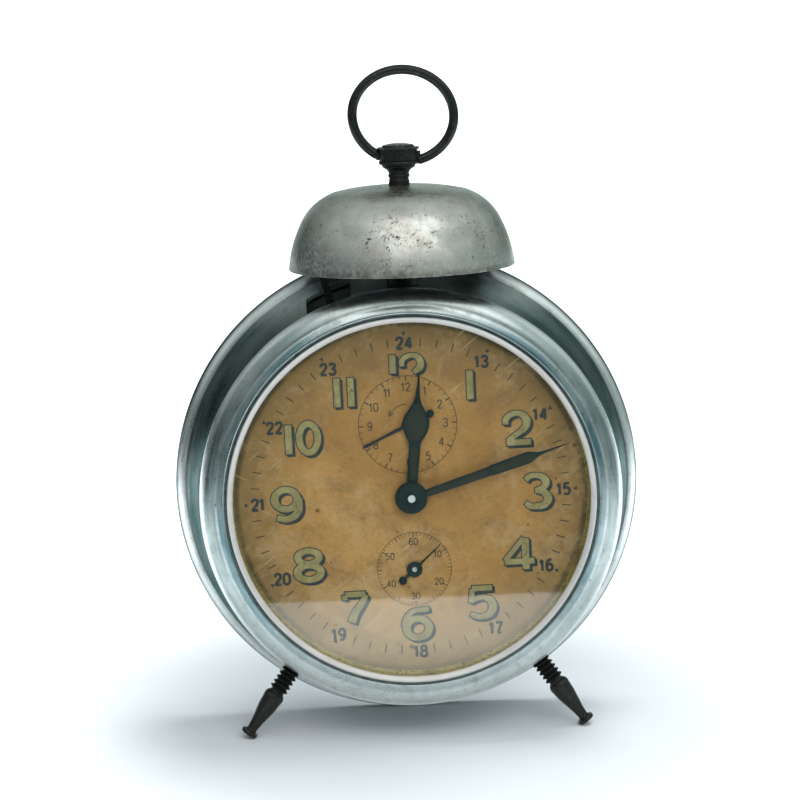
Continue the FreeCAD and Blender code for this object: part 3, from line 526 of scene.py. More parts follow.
M = {
    "bezel": nickel("bezel_nickel", 0.29, (0.62, 0.68, 0.665), 0.35, True, 0.0, 0.15, (
        (44.0, 46.35, (0.58, 0.55, 0.53), 0.7, 0.97, 1.0, 1.0),
        (46.6, 47.15, (0.10, 0.15, 0.16), 0.7, 0.95, 0.8, 0.8),
        (47.3, 49.1, (0.055, 0.165, 0.195), 0.5, 0.93, 0.25, 0.0),
        # painted dark reflection: a darker band at the sides of the bezel, left off at the bottom
        (49.5, 52.2, (0.20, 0.27, 0.27), 0.35, 0.85, 0.0, 0.1),
        # painted highlight: the bright line on the bezel's outer flange
        (52.55, 53.6, (0.93, 0.96, 0.96), 0.7, 1.0, 0.7, 0.0)), (0.75, 0.82, 0.82)),
    "case": nickel("case_nickel", 0.30, (0.53, 0.595, 0.58), 0.45, True, 0.25, 0.22, (
        # the dark flare: partly tarnish, partly painted dark reflection of the room
        (50.5, 57.4, (0.080, 0.125, 0.122), 0.72, 0.98, 0.45, 0.1),
        # painted highlight: the bright line on the rolled bead
        (58.1, 59.2, (0.86, 0.91, 0.91), 0.5, 1.0, 0.5, 1.0),
        # painted shade: the dark, brassy line at the rolled rear edge
        (59.5, 60.6, (0.050, 0.045, 0.030), 0.8, 1.0, 1.0, 0.8)), (0.40, 0.50, 0.50)),
    "bell": nickel("bell_nickel", 0.31, (0.65, 0.655, 0.61), 0.55, False, 1.0, edge=(0.45, 0.52, 0.49)),
    "nickel": nickel("plain_nickel", 0.28, (0.60, 0.63, 0.61), 0.35, False, 0.2),
    "back": nickel("back_nickel", 0.37, (0.40, 0.43, 0.415), 0.6, True, 0.6, 0.2),
    "bronzed": bronze("bronzed_metal"),
    "glass": glass_sheet("clear_glass"),
    "brass_ring": plain_metal("ring_brass", (0.56, 0.50, 0.18), (0.22, 0.21, 0.09), 0.22, 0.44, 0.7),
    "movement_brass": plain_metal("movement_brass_metal", (0.66, 0.48, 0.20), (0.34, 0.24, 0.11), 0.22, 0.44),
    "steel": plain_metal("plain_steel", (0.50, 0.52, 0.52), (0.24, 0.20, 0.16), 0.24, 0.44, 1.0,
                         (200.0, 1600.0), (0.45, 0.72, 0.6)),
    "blued": blued_metal("blued_steel"),
    "fibre": fibre_board("fibre_red"),
    "dial": dial_paper("dial_paper"),
    "ink": ink("print_ink", (0.012, 0.022, 0.026), (0.030, 0.045, 0.048)),
    "faint": ink("fine_print_ink", (0.024, 0.022, 0.016), (0.050, 0.040, 0.026), 0.45),
    "lume": lume_paint("lume_fill"),
    "old_lume": ink("hand_inlay", (0.004, 0.012, 0.010), (0.024, 0.030, 0.019), 0.10),
    "pin": plain_metal("pin_nickel", (0.66, 0.72, 0.71), (0.34, 0.38, 0.38), 0.26, 0.48, 0.4),
}
slots = {part["node"]: part["material_slot"] for part in frame["record"]["subparts"]}
for node, obj in frame["nodes"].items():
    key = slots.get(node, "steel")
    obj.data.materials.clear()
    key = "dial" if key == "dial_print" else key
    key = {"bell_post": "bronzed", "hammer": "bronzed", "back_cover": "back"}.get(node, key)
    obj.data.materials.append(M.get(key, M["steel"]))

# ------------------------------------------------------------------ case, bezel, glass, dial
case_points = profile((49.95, 3.3), [
    (49.95, 6.45), (51.3, 6.45), ((51.45, 6.5), (51.55, 6.7)),
    ((52.9, 19.0), (57.2, 30.0)), ((59.25, 31.6), (59.8, 34.2)),
    ((59.23, 34.8), (58.63, 34.2)), ((58.78, 33.78), (59.13, 33.6)),
    ((58.6, 32.15), (56.8, 30.65)), ((52.2, 19.4), (50.8, 7.65)),
    (46.0, 7.65), (46.0, 6.95), (49.2, 6.95), (49.2, 3.3)], 4.0)


def floor_flat(obj):
    """Whatever would dip under the floor is worn flat on it."""
    for v in obj.data.vertices:
        v.co.z = max(v.co.z, 0.0)


case = lathe("case_body_shell", case_points, "case", M["case"], ["case_body"], segments=256,
             wave=uneven(0.05, 1.7, 2.0, 0.05))
cut(case, *box_mesh(-24.5, -13.2, 15.0, 25.0, 44.0, 61.0))
floor_flat(case)

bezel_points = profile((45.0, 0.95), [
    ((45.5, 0.38), (46.15, 0.02)), ((46.38, 0.1), (46.5, 0.5)), (46.72, 1.1), ((46.92, 1.25), (47.1, 1.1)),
    ((47.22, 0.58), (47.5, 0.45)), ((48.3, 0.70), (49.3, 1.2)), ((51.9, 2.4), (53.3, 4.7)),
    ((53.2, 5.75), (52.3, 6.35)), (50.0, 6.35), (50.0, 5.7), (51.9, 5.7), ((52.4, 5.4), (52.45, 4.9)),
    ((51.3, 2.85), (49.2, 1.85)), (48.9, 2.55), (46.25, 2.55), (46.25, 1.1), (45.0, 1.1)], 6.0)
lathe("bezel_ring", bezel_points, "case", M["bezel"], ["bezel"], segments=288,
      wave=uneven(0.045, 4.2, 3.5, 0.2))
lathe("glass_pane", profile((0, 1.12), [(46.0, 1.12), (46.2, 1.3), (46.2, 2.45), (46.05, 2.6), (0, 2.6)]),
      "case", M["glass"], ["glass"], segments=160)
lathe("dial_ring_brass", profile((45.35, 2.65), [
    (46.15, 2.65), (46.15, 5.75), (49.1, 5.75), (49.1, 6.48), (44.8, 6.48), ((44.66, 6.38), (44.7, 6.15)),
    ((45.1, 4.4), (45.35, 2.65))]),
    "case", M["brass_ring"], ["dial_ring"], segments=256, wave=uneven(0.008, 9.1, 3.0))
plate = lathe("dial_paper_disc", profile((2.7, 6.56), [
    (2.76, DIAL_Y), (49.0, DIAL_Y), (49.1, 6.6), (49.1, 6.9), (2.7, 6.9)]),
    "case", M["dial"], ["dial_plate"], segments=192)
ALARM_POST, SECONDS_POST = clock_at(SUB_DIAL, -0.8), clock_at(SUB_DIAL, 179.2)
for spot, radius in ((ALARM_POST, 1.1), (SECONDS_POST, 0.9)):
    drill = [(0, 5.5), (radius, 5.5), (radius, 8.0), (0, 8.0)]
    cut(plate, *lathe_mesh(drill, (spot[0], 0, spot[1]), segments=24))


# ------------------------------------------------------------------ print on the dial
class Sheet:
    """Collects flat and raised print in the dial's own turned frame, then becomes one piece."""

    def __init__(self):
        self.v, self.f = [], []

    def point(self, x, z, up):
        c, s = math.cos(PRINT_TURN), math.sin(PRINT_TURN)
        self.v.append(((x * c - z * s) * MM, (DIAL_Y - up) * MM, (x * s + z * c) * MM))
        return len(self.v) - 1

    def stroke(self, path, widths, height=INK, base=0.0, grow=0.0, offset=(0, 0), power=8, closed=False,
               fine=6):
        """A raised stroke of changing width along a smooth path."""
        pts = [Vector((p[0] + offset[0], p[1] + offset[1])) for p in path]
        w = list(widths) if hasattr(widths, "__len__") else [widths] * len(pts)
        line, wide = [], []
        n = len(pts)
        spans = n if closed else n - 1
        for i in range(spans):
            p1, p2 = pts[i], pts[(i + 1) % n]
            p0 = pts[(i - 1) % n] if closed or i > 0 else p1 * 2 - p2
            p3 = pts[(i + 2) % n] if closed or i + 2 < n else p2 * 2 - p1
            steps = fine if n > 2 else 1
            for k in range(steps):
                t = k / steps
                line.append(0.5 * ((2 * p1) + (p2 - p0) * t + (2 * p0 - 5 * p1 + 4 * p2 - p3) * t * t
                                   + (3 * p1 - p0 - 3 * p2 + p3) * t ** 3))
                wide.append(w[i] * (1 - t) + w[(i + 1) % n] * t)
        if not closed:
            line.append(pts[-1])
            wide.append(w[-1])
            d0 = (line[1] - line[0]).normalized()
            d1 = (line[-1] - line[-2]).normalized()
            line[0] = line[0] - d0 * grow
            line[-1] = line[-1] + d1 * grow
        rows, sides, m = [], 6, len(line)
        for i in range(m):
            a = line[(i - 1) % m] if closed or i > 0 else line[0]
            b = line[(i + 1) % m] if closed or i < m - 1 else line[-1]
            t = (b - a).normalized()
            nrm = Vector((-t.y, t.x))
            row = []
            for k in range(sides + 1):
                c = math.cos(math.pi * k / sides)
                q = line[i] + nrm * c * (wide[i] + grow)
                row.append(self.point(q.x, q.y, base + height * (1 - abs(c) ** power)))
            rows.append(row)
        for i in range(m if closed else m - 1):
            a, b = rows[i], rows[(i + 1) % m]
            for k in range(sides):
                self.f.append((a[k], a[k + 1], b[k + 1], b[k]))
        if not closed:
            for row in (rows[0], rows[-1]):
                self.f.append(tuple(row))

    def bar(self, a, b, half):
        self.stroke([a, b], half)

    def circle(self, centre, radius, half, a0=0.0, a1=360.0):
        full = abs(a1 - a0) >= 360
        n = max(8, int(abs(a1 - a0) / 5))
        path = [(centre[0] + radius * math.cos(math.radians(a0 + (a1 - a0) * k / n)),
                 centre[1] + radius * math.sin(math.radians(a0 + (a1 - a0) * k / n)))
                for k in range(n if full else n + 1)]
        self.stroke(path, half, closed=full, fine=1)

    def polygon(self, pts):
        top = [self.point(x, z, INK) for x, z in pts]
        low = [self.point(x, z, 0.0) for x, z in pts]
        self.f.append(tuple(top))
        for i in range(len(pts)):
            j = (i + 1) % len(pts)
            self.f.append((top[i], low[i], low[j], top[j]))

    def build(self, name, material):
        return finish_mesh(name, self.v, self.f, "case", material, ["dial_plate"], 50)


# single digits as strokes in a cell one unit high
DIGIT = {
    "0": [[(0.30, 1.0), (0.06, 0.86), (0.0, 0.5), (0.06, 0.14), (0.30, 0.0), (0.54, 0.14), (0.60, 0.5),
           (0.54, 0.86), "o"]],
    "1": [[(0.08, 0.74), (0.30, 1.0)], [(0.30, 1.0), (0.30, 0.0)]],
    "2": [[(0.03, 0.74), (0.09, 0.93), (0.30, 1.0), (0.52, 0.92), (0.56, 0.70), (0.42, 0.46), (0.20, 0.22),
           (0.02, 0.0)], [(0.02, 0.0), (0.58, 0.0)]],
    "3": [[(0.03, 0.84), (0.14, 0.97), (0.30, 1.0), (0.50, 0.92), (0.54, 0.74), (0.44, 0.58), (0.24, 0.53)],
          [(0.24, 0.53), (0.48, 0.46), (0.58, 0.26), (0.48, 0.06), (0.28, 0.0), (0.10, 0.04), (0.01, 0.18)]],
    "4": [[(0.46, 0.0), (0.46, 1.0)], [(0.46, 1.0), (0.0, 0.27)], [(0.0, 0.27), (0.62, 0.27)]],
    "5": [[(0.54, 1.0), (0.10, 1.0)], [(0.10, 1.0), (0.05, 0.52)],
          [(0.05, 0.54), (0.22, 0.62), (0.42, 0.60), (0.56, 0.44), (0.57, 0.22), (0.44, 0.04), (0.24, 0.0),
           (0.02, 0.10)]],
    "6": [[(0.50, 0.96), (0.34, 1.0), (0.14, 0.88), (0.02, 0.58), (0.02, 0.30)],
          [(0.02, 0.30), (0.10, 0.06), (0.30, 0.0), (0.50, 0.08), (0.58, 0.30), (0.50, 0.52), (0.30, 0.60),
           (0.10, 0.52), "o"]],
    "7": [[(0.0, 1.0), (0.58, 1.0)], [(0.58, 1.0), (0.38, 0.62), (0.26, 0.30), (0.20, 0.0)]],
    "8": [[(0.30, 1.0), (0.10, 0.92), (0.05, 0.76), (0.12, 0.60), (0.30, 0.54), (0.48, 0.60), (0.55, 0.76),
           (0.50, 0.92), "o"],
          [(0.30, 0.54), (0.08, 0.44), (0.0, 0.26), (0.08, 0.07), (0.30, 0.0), (0.52, 0.07), (0.60, 0.26),
           (0.52, 0.44), "o"]],
    "9": [[(0.58, 0.70), (0.50, 0.48), (0.30, 0.40), (0.10, 0.48), (0.02, 0.70), (0.10, 0.92), (0.30, 1.0),
           (0.50, 0.94), "o"], [(0.58, 0.70), (0.56, 0.40), (0.44, 0.12), (0.24, 0.0), (0.08, 0.05)]],
}


def number(sheet, text, centre, height, half, squeeze, gap):
    """Plain digits centred on a point."""
    wide = [(0.30 if d == "1" else 0.60) * height * squeeze for d in text]
    space = gap * height * squeeze
    x = centre[0] - (sum(wide) + space * (len(text) - 1)) / 2
    for d, w in zip(text, wide):
        shift = -0.15 * height * squeeze if d == "1" else 0.0
        for line in DIGIT[d]:
            closed = line[-1] == "o"
            pts = [(x + shift + px * height * squeeze, centre[1] - height / 2 + pz * height)
                   for px, pz in (line[:-1] if closed else line)]
            sheet.stroke(pts, half, grow=half * 0.15, closed=closed, fine=4)
        x += w + space


fine_ink, bold_ink = Sheet(), Sheet()
for k in range(60):
    if k % 5:
        wobble = 0.12 * noise.noise(Vector((k * 1.7, 3.1, 0)))
        fine_ink.bar(clock_at(38.25 + wobble, 6 * k), clock_at(40.5 + wobble, 6 * k), 0.14)
for k in range(12):
    a = 30 * k
    tip, left, right = clock_at(41.0, a), clock_at(42.0, a - 0.75), clock_at(42.0, a + 0.75)
    if k != 6:
        bold_ink.polygon([tip, left, right])
    label = str(12 + k) if k else "24"
    spot = clock_at({0: 39.2, 5: 40.2, 6: 39.8, 7: 39.7}.get(k, 38.7), a)
    spot = (spot[0] + (0.7 if k == 6 else 0.0), spot[1])
    number(bold_ink, label, spot, 2.75, 0.31, 0.92, 0.28)


def small_at(middle, radius, degrees):
    """A clock position on a small dial."""
    x, z = clock_at(radius, degrees)
    return (x, z + middle[1])


ALARM_DIAL, SECONDS_DIAL = (0.0, SUB_DIAL), (0.0, -SUB_DIAL)
fine_ink.circle(ALARM_DIAL, 12.4, 0.085)
for k in range(48):
    inner_r = 11.15 if k % 4 == 0 else (11.55 if k % 2 else 11.6)
    fine_ink.bar(small_at(ALARM_DIAL, inner_r, k * 7.5), small_at(ALARM_DIAL, 12.4, k * 7.5),
                 0.16 if k % 4 == 0 else 0.07)
for k in range(12):
    number(fine_ink, str(k if k else 12), small_at(ALARM_DIAL, 9.55, 30 * k), 2.05, 0.125, 0.85, 0.22)
# the arrow for the setting direction
fine_ink.circle(ALARM_DIAL, 5.2, 0.09, a0=92, a1=152)
tip = small_at(ALARM_DIAL, 5.2, -62)
for turn in (20, -34):
    d = polar(1.35, 62 + turn)
    fine_ink.bar((tip[0] - 0.1, tip[1] - 0.2), (tip[0] + d[0], tip[1] + d[1]), 0.11)

fine_ink.circle(SECONDS_DIAL, 9.4, 0.07)
for k in range(60):
    inner_r, half = (8.6, 0.06) if k % 5 else (8.25, 0.11)
    fine_ink.bar(small_at(SECONDS_DIAL, inner_r, 6 * k), small_at(SECONDS_DIAL, 9.4, 6 * k), half)
for k, label in enumerate(("60", "10", "20", "30", "40", "50")):
    number(fine_ink, label, small_at(SECONDS_DIAL, 7.0, 60 * k), 1.6, 0.11, 0.9, 0.26)
fine_ink.build("dial_fine_print", M["faint"])
bold_ink.build("dial_outer_numbers", M["ink"])


def round_the_oval(n):
    return [(math.cos(2 * math.pi * k / n), math.sin(2 * math.pi * k / n)) for k in range(n)]


def oval(cx, cz, a, b, n=16):
    return [(cx + a * c, cz + b * s) for c, s in round_the_oval(n)]


def oval_widths(wa, wb, n=16):
    return [math.hypot(wa * c, wb * s) for c, s in round_the_oval(n)]


# the twelve filled hour numerals: (path, half widths, closed)
HOURS = [
    ([(-3.1, 36.3), (-3.1, 31.6)], 0.82, False),
    ([(-0.75, 33.3), (-0.75, 34.6), (0.25, 35.65), (1.9, 36.0), (3.35, 35.4), (3.95, 34.0), (3.55, 32.7),
      (2.1, 31.75)], [0.62, 0.66, 0.62, 0.60, 0.82, 0.92, 0.86, 0.60], False),
    ([(16.1, 31.4), (16.1, 24.1)], 0.86, False),
    ([(24.65, 17.2), (24.75, 18.5), (25.8, 19.5), (27.5, 19.95), (29.2, 19.35), (30.0, 17.9), (29.6, 16.4),
      (28.2, 15.1), (26.4, 14.0), (25.2, 12.9)],
     [0.75, 0.78, 0.72, 0.66, 0.85, 1.02, 0.92, 0.74, 0.68, 0.8], False),
    ([(24.7, 12.5), (30.9, 12.5)], 0.80, False),
    ([(29.1, 2.8), (30.0, 3.6), (31.6, 3.85), (33.3, 3.4), (34.2, 2.1), (33.5, 0.6), (31.4, 0.0)],
     [0.72, 0.70, 0.66, 0.80, 1.0, 0.80, 0.52], False),
    ([(31.4, 0.0), (33.6, -0.6), (34.6, -2.2), (33.6, -3.7), (31.6, -4.1), (29.9, -3.9), (28.9, -3.0)],
     [0.52, 0.85, 1.08, 0.95, 0.76, 0.76, 0.62], False),
    ([(28.3, -12.1), (28.3, -20.1)], 0.92, False),
    ([(22.9, -18.0), (30.5, -18.0)], 0.76, False),
    ([(27.9, -12.0), (23.0, -17.7)], 0.66, False),
    ([(14.3, -24.4), (19.4, -24.4)], 0.72, False),
    ([(14.4, -24.6), (13.95, -27.9)], 0.70, False),
    ([(13.8, -27.8), (15.2, -27.0), (17.0, -26.75), (18.8, -27.5), (19.4, -29.3), (18.6, -31.0),
      (16.7, -31.7), (14.9, -31.5), (13.7, -30.9)],
     [0.50, 0.62, 0.66, 0.95, 1.08, 0.92, 0.74, 0.72, 0.66], False),
    ([(3.2, -28.9), (1.6, -29.1), (0.2, -29.1), (-1.2, -29.6), (-2.5, -31.0), (-3.0, -33.2)],
     [0.66, 0.62, 0.62, 0.70, 0.86, 1.0], False),
    (oval(0.15, -33.8, 2.85, 2.45), oval_widths(1.02, 0.82), True),
    ([(-18.0, -24.25), (-12.7, -24.25)], 0.72, False),
    ([(-18.1, -24.3), (-18.0, -25.6)], 0.66, False),
    ([(-12.6, -24.5), (-13.9, -26.8), (-15.5, -29.0), (-16.5, -31.4)], [0.74, 0.84, 0.94, 1.02], False),
    (oval(-26.7, -14.1, 2.68, 1.62), oval_widths(0.92, 0.74), True),
    (oval(-26.7, -18.0, 2.92, 1.88), oval_widths(1.02, 0.80), True),
    (oval(-31.6, 1.0, 2.85, 2.5), oval_widths(0.96, 0.80), True),
    ([(-28.5, 1.2), (-28.5, -1.6), (-29.6, -3.3), (-31.8, -4.05), (-34.0, -3.6)],
     [0.98, 1.0, 0.92, 0.78, 0.72], False),
    ([(-30.15, 19.9), (-30.15, 12.5)], 0.86, False),
    (oval(-25.1, 16.35, 2.32, 3.65, 20), oval_widths(0.86, 0.82, 20), True),
    ([(-17.4, 31.1), (-17.4, 23.8)], 0.82, False),
    ([(-13.9, 31.1), (-13.9, 23.8)], 0.82, False),
]
shade, edge, lume = Sheet(), Sheet(), Sheet()
for path, widths, closed in HOURS:
    for k in range(3):
        d = 0.2 * (k + 1)
        shade.stroke(path, widths, 0.022, 0.0, 0.12, (d, -d), 12, closed)
    edge.stroke(path, widths, 0.035, 0.0, 0.24, (0, 0), 12, closed)
    lume.stroke(path, widths, 0.09, 0.03, -0.02, (0, 0), 4, closed)
shade.build("numeral_shadows", M["ink"])
edge.build("numeral_outlines", M["ink"])
lume.build("numeral_fill", M["lume"])


# ------------------------------------------------------------------ hands
def blade(name, body, material, nodes, stations, y_front, y_back, ridge, centre, angle, discs):
    """A hand: a blade with a raised middle line, and its round discs. Angle clockwise from twelve."""
    a = math.radians(90 - angle)
    ux, uz = math.cos(a), math.sin(a)
    nx, nz = -uz, ux
    verts, faces, rows = [], [], []
    edge_y = y_front + ridge
    for s, w in stations:
        row = []
        soft = min(0.06, w * 0.4)
        for off, y in ((-w, y_back - 0.02), (-w, edge_y + 0.03), (-w + soft, edge_y), (0, y_front),
                       (w - soft, edge_y), (w, edge_y + 0.03), (w, y_back - 0.02), (w * 0.5, y_back),
                       (-w * 0.5, y_back)):
            row.append(len(verts))
            verts.append(Vector((centre[0] + ux * s + nx * off, y, centre[1] + uz * s + nz * off)) * MM)
        rows.append(row)
    for p, q in zip(rows, rows[1:]):
        for k in range(len(p)):
            j = (k + 1) % len(p)
            faces.append((p[k], p[j], q[j], q[k]))
    faces += [tuple(rows[0]), tuple(reversed(rows[-1]))]
    for at, radius, hole, y0, y1 in discs:
        cx, cz = centre[0] + ux * at, centre[1] + uz * at
        inside = [(hole, y0 + 0.04), (hole + 0.05, y0)] if hole else [(0, y0)]
        pts = [*inside, (radius - 0.08, y0), (radius, y0 + 0.07), (radius, y1), (hole, y1)]
        dv, df = lathe_mesh(pts, (cx, 0, cz), (0, 1, 0), 56)
        n = len(verts)
        verts += dv
        faces += [tuple(i + n for i in f) for f in df]
    return finish_mesh(name, verts, faces, body, material, nodes, 12)


HOUR_ANGLE, MINUTE_ANGLE, ALARM_ANGLE, SECONDS_ANGLE = 5.4, 72.6, 244.7, 47.6
blade("hour_hand_blade", "hour", M["blued"], ["hour_hand"],
      [(3.3, 1.36), (8, 1.40), (11.5, 1.42), (13.6, 1.46), (14.6, 1.75), (15.6, 2.35), (16.8, 2.95),
       (18.0, 3.3), (19.0, 3.4), (20.0, 3.28), (21.2, 2.8), (22.6, 1.95), (24.0, 1.15), (25.2, 0.72),
       (26.6, 0.50), (28.6, 0.36), (31.9, 0.10)],
      4.74, 5.1, 0.20, (0, 0), HOUR_ANGLE, [(0, 4.1, 2.3, 4.74, 5.1)])
blade("minute_hand_blade", "minute", M["blued"], ["minute_hand"],
      [(3.0, 0.98), (12, 1.10), (21.0, 1.20), (21.25, 1.36), (26, 1.44), (30.6, 1.52), (31.6, 1.42),
       (32.8, 0.98), (34.0, 0.52), (35.4, 0.36), (38, 0.26), (42.0, 0.08)],
      3.66, 4.0, 0.16, (0, 0), MINUTE_ANGLE, [(0, 3.9, 1.55, 3.66, 4.0), (0, 1.75, 0.97, 3.38, 3.7)])
blade("alarm_hand_blade", "alarm_set", M["blued"], ["alarm_hand"],
      [(-6.0, 0.26), (-3, 0.30), (0, 0.42), (5, 0.34), (9.5, 0.30), (11.6, 0.40), (12.8, 0.16)],
      5.58, 5.85, 0.07, ALARM_POST, ALARM_ANGLE, [(0, 1.6, 0.8, 5.58, 5.85), (-6.3, 1.0, 0, 5.58, 5.85)])
blade("seconds_hand_blade", "seconds", M["blued"], ["seconds_hand"],
      [(-4.0, 0.26), (-2, 0.34), (0, 0.44), (3, 0.26), (6, 0.18), (9.1, 0.10)], 5.63, 5.9, 0.06, SECONDS_POST,
      SECONDS_ANGLE, [(0, 2.0, 0.6, 5.63, 5.9), (-4.1, 1.05, 0, 5.63, 5.9)])
# the dark old filling of the two big hands: (distance, its half width, the blade's half width there)
for name, body, node, front, slope, angle, runs in (
        ("hour_hand_inlay", "hour", "hour_hand", 4.74, 0.20, HOUR_ANGLE,
         (((4.6, 0.75, 1.38), (9, 0.85, 1.41), (12.9, 0.88, 1.44)),
          ((14.6, 0.9, 1.75), (16.0, 1.75, 2.55), (17.6, 2.5, 3.2), (19.0, 2.75, 3.4), (20.6, 2.4, 3.1),
           (22.4, 1.3, 2.1), (24.0, 0.55, 1.15)))),
        ("minute_hand_inlay", "minute", "minute_hand", 3.66, 0.16, MINUTE_ANGLE,
         (((4.4, 0.62, 1.0), (12, 0.72, 1.10), (20.2, 0.80, 1.19)),
          ((21.8, 0.88, 1.37), (26, 0.98, 1.44), (30.2, 1.04, 1.51), (31.9, 0.85, 1.36), (33.0, 0.4, 0.9))))):
    a = math.radians(90 - angle)
    verts, faces = [], []
    for run in runs:
        for i, (s, w, full) in enumerate(run):
            n = len(verts)
            for off, depth in ((-w, -0.035), (0, -0.035), (w, -0.035), (w, 0.02), (0, 0.02), (-w, 0.02)):
                y = front + slope * abs(off) / full + depth
                verts.append(Vector((math.cos(a) * s - math.sin(a) * off, y,
                                     math.sin(a) * s + math.cos(a) * off)) * MM)
            if i:
                faces += [(n + k, n + (k + 1) % 6, n - 6 + (k + 1) % 6, n - 6 + k) for k in range(6)]
            if i in (0, len(run) - 1):
                faces.append(tuple(range(n, n + 6)))
    finish_mesh(name, verts, faces, body, M["old_lume"], [node], 30)
lathe("hand_pin_cap", profile((0, 2.98), [((0.28, 3.0), (0.38, 3.1)), ((0.48, 3.16), (0.58, 3.08)),
      ((0.80, 2.98), (0.95, 3.2)), (0.95, 3.5), (0.8, 3.5), (0.8, 3.4), (0, 3.4)], 20),
      "minute", M["pin"], ["hand_pin"], segments=40)

# ------------------------------------------------------------------ feet, bell, head and ring
foot_points = [(0.0, 45.0), (1.2, 45.0), (1.2, 51.6), (2.35, 51.6), ((2.52, 51.7), (2.58, 51.95)),
               (2.58, 54.2), ((2.4, 54.5), (1.7, 54.62))]
for k in range(5):
    mid = 55.3 + 1.32 * k
    foot_points += [(2.36, mid - 0.12), ((2.46, mid), (2.36, mid + 0.12)),
                    ((1.92, mid + 0.38), (1.74, mid + 0.66))]
foot_points += [((1.80, 61.45), (2.0, 61.75)), ((2.56, 62.5), (2.62, 63.6)), ((2.42, 66.0), (1.92, 68.6)),
                ((1.5, 70.9), (1.28, 72.8)), ((1.38, 73.35), (2.02, 73.7)), ((2.2, 74.25), (2.08, 74.72)),
                (0, 74.8)]
for name, side in (("left_foot", -1), ("right_foot", 1)):
    foot = lathe(name + "_turned", profile(foot_points[0], foot_points[1:], 12), "case", M["bronzed"],
                 [name], (0, FOOT_Y, 0), (side * math.sin(FOOT_LEAN), 0, -math.cos(FOOT_LEAN)), 72,
                 uneven(0.04, 3.0 + side, 1.5, 0.4))
    floor_flat(foot)

bell_points = profile((1.55, 20.5), [
    (1.55, 19.3), ((9.2, 19.1), (16.9, 17.75)), ((21.6, 14.7), (24.4, 10.5)), ((26.5, 5.4), (27.6, 0)),
    (28.52, 0), (28.58, 0.08), ((27.6, 5.6), (25.6, 10.9)), ((22.4, 15.6), (17.4, 18.9)),
    ((9.2, 20.3), (1.55, 20.5))], 3.5)


def dented(r, h, a):
    p = Vector((r * math.cos(a) * 0.10, r * math.sin(a) * 0.10, h * 0.10 + 5.0))
    q = p * 3.3
    return 0.10 * noise.noise(p) + 0.025 * noise.noise(q), 0.06 * noise.noise(p + Vector((7, 0, 0)))


lathe("bell_dome", bell_points, "case", M["bell"], ["bell"], (0, BELL_Y, 57.5), UPWARD, 224, dented)
lathe("bell_washer_disc", profile((1.55, 76.25), [(4.1, 76.25), (4.2, 76.35), (4.2, 76.6), (4.08, 76.72),
      (1.55, 76.72)]), "case", M["nickel"], ["bell_washer"], POST, UPWARD, 64)
head = lathe("handle_head_turned", profile((1.52, 78.0), [
    (2.6, 78.0), (2.65, 78.08), (2.65, 79.3), ((2.45, 79.75), (2.65, 80.2)), ((2.75, 80.5), (2.6, 80.9)),
    ((2.75, 81.6), (3.4, 82.2)), ((3.9, 82.55), (4.2, 82.7)), (4.2, 83.3), (4.75, 83.3),
    ((5.05, 83.8), (4.75, 84.3)), (4.92, 84.45), (4.92, 87.0), (5.2, 87.15), ((5.4, 87.4), (5.2, 87.65)),
    (4.15, 87.7), ((3.95, 88.1), (3.5, 88.3)), ((2.2, 88.55), (0.5, 88.6)), (0, 88.6), (0, 83.6),
    (1.52, 83.6)], 14),
    "case", M["bronzed"], ["handle_head"], POST, UPWARD, 72, uneven(0.02, 8.0, 1.5, 0.8))
PIVOT = Vector((0, BELL_Y, PIN_Z))
for side in (-1, 1):
    cut(head, *lathe_mesh([(0, 2.9), (1.1, 2.9), (1.1, 6.9), (0, 6.9)], PIVOT, (side, 0, 0), 32))

# the carrying ring: an oval of wire, open at the bottom, that leans to one side on its two loose pins
ring_a, ring_b, wire_r, ring_z, start_x = 12.82, 11.58, 1.25, 95.62, 5.3
a0 = math.asin(start_x / ring_a)
LOOSE = Matrix.Rotation(math.radians(8.6), 3, "Y")
verts, faces, rows = [], [], []
COUNT, SIDES = 150, 28
for i in range(COUNT + 1):
    t = -math.pi / 2 + a0 + (2 * math.pi - 2 * a0) * i / COUNT
    c = Vector((ring_a * math.cos(t), BELL_Y, ring_z + ring_b * math.sin(t)))
    c = LOOSE @ (c - PIVOT) + PIVOT
    d = LOOSE @ Vector((-ring_a * math.sin(t), 0, ring_b * math.cos(t))).normalized()
    n1 = Vector((0, 1, 0))
    n2 = d.cross(n1)
    row = []
    for k in range(SIDES):
        q = 2 * math.pi * k / SIDES
        grow = wire_r - 0.03 + 0.03 * noise.noise(Vector((i * 0.09, math.cos(q), math.sin(q))))
        row.append(len(verts))
        verts.append((c + n1 * grow * math.cos(q) + n2 * grow * math.sin(q)) * MM)
    rows.append(row)
for p, q in zip(rows, rows[1:]):
    for k in range(SIDES):
        j = (k + 1) % SIDES
        faces.append((p[k], p[j], q[j], q[k]))
faces += [tuple(rows[0]), tuple(rows[-1])]
BALL = 1.08
ball_half = BALL * 0.707
ball_points = profile((0, -BALL), [((ball_half, -ball_half), (BALL, 0)),
                                   ((ball_half, ball_half), (0, BALL))], 14)
pin_points = [(0, 3.1), (0.95, 3.1), (1.05, 3.2), (1.05, 5.6), (0, 5.6)]
for side in (-1, 1):
    end = LOOSE @ (Vector((side * start_x, BELL_Y, ring_z - ring_b * math.cos(a0))) - PIVOT) + PIVOT
    for pv, pf in (lathe_mesh(ball_points, end, UPWARD, 28), lathe_mesh(pin_points, PIVOT, (side, 0, 0), 28)):
        n = len(verts)
        verts += pv
        faces += [tuple(i + n for i in f) for f in pf]
finish_mesh("ring_handle_wire", verts, faces, "ring", M["bronzed"], ["ring_handle"], 50)


# ------------------------------------------------------------------ floor, light and camera
def flat_sheet(name, corners):
    mesh = bpy.data.meshes.new(name)
    mesh.from_pydata(corners, [], [tuple(range(len(corners)))])
    return place(name, mesh)


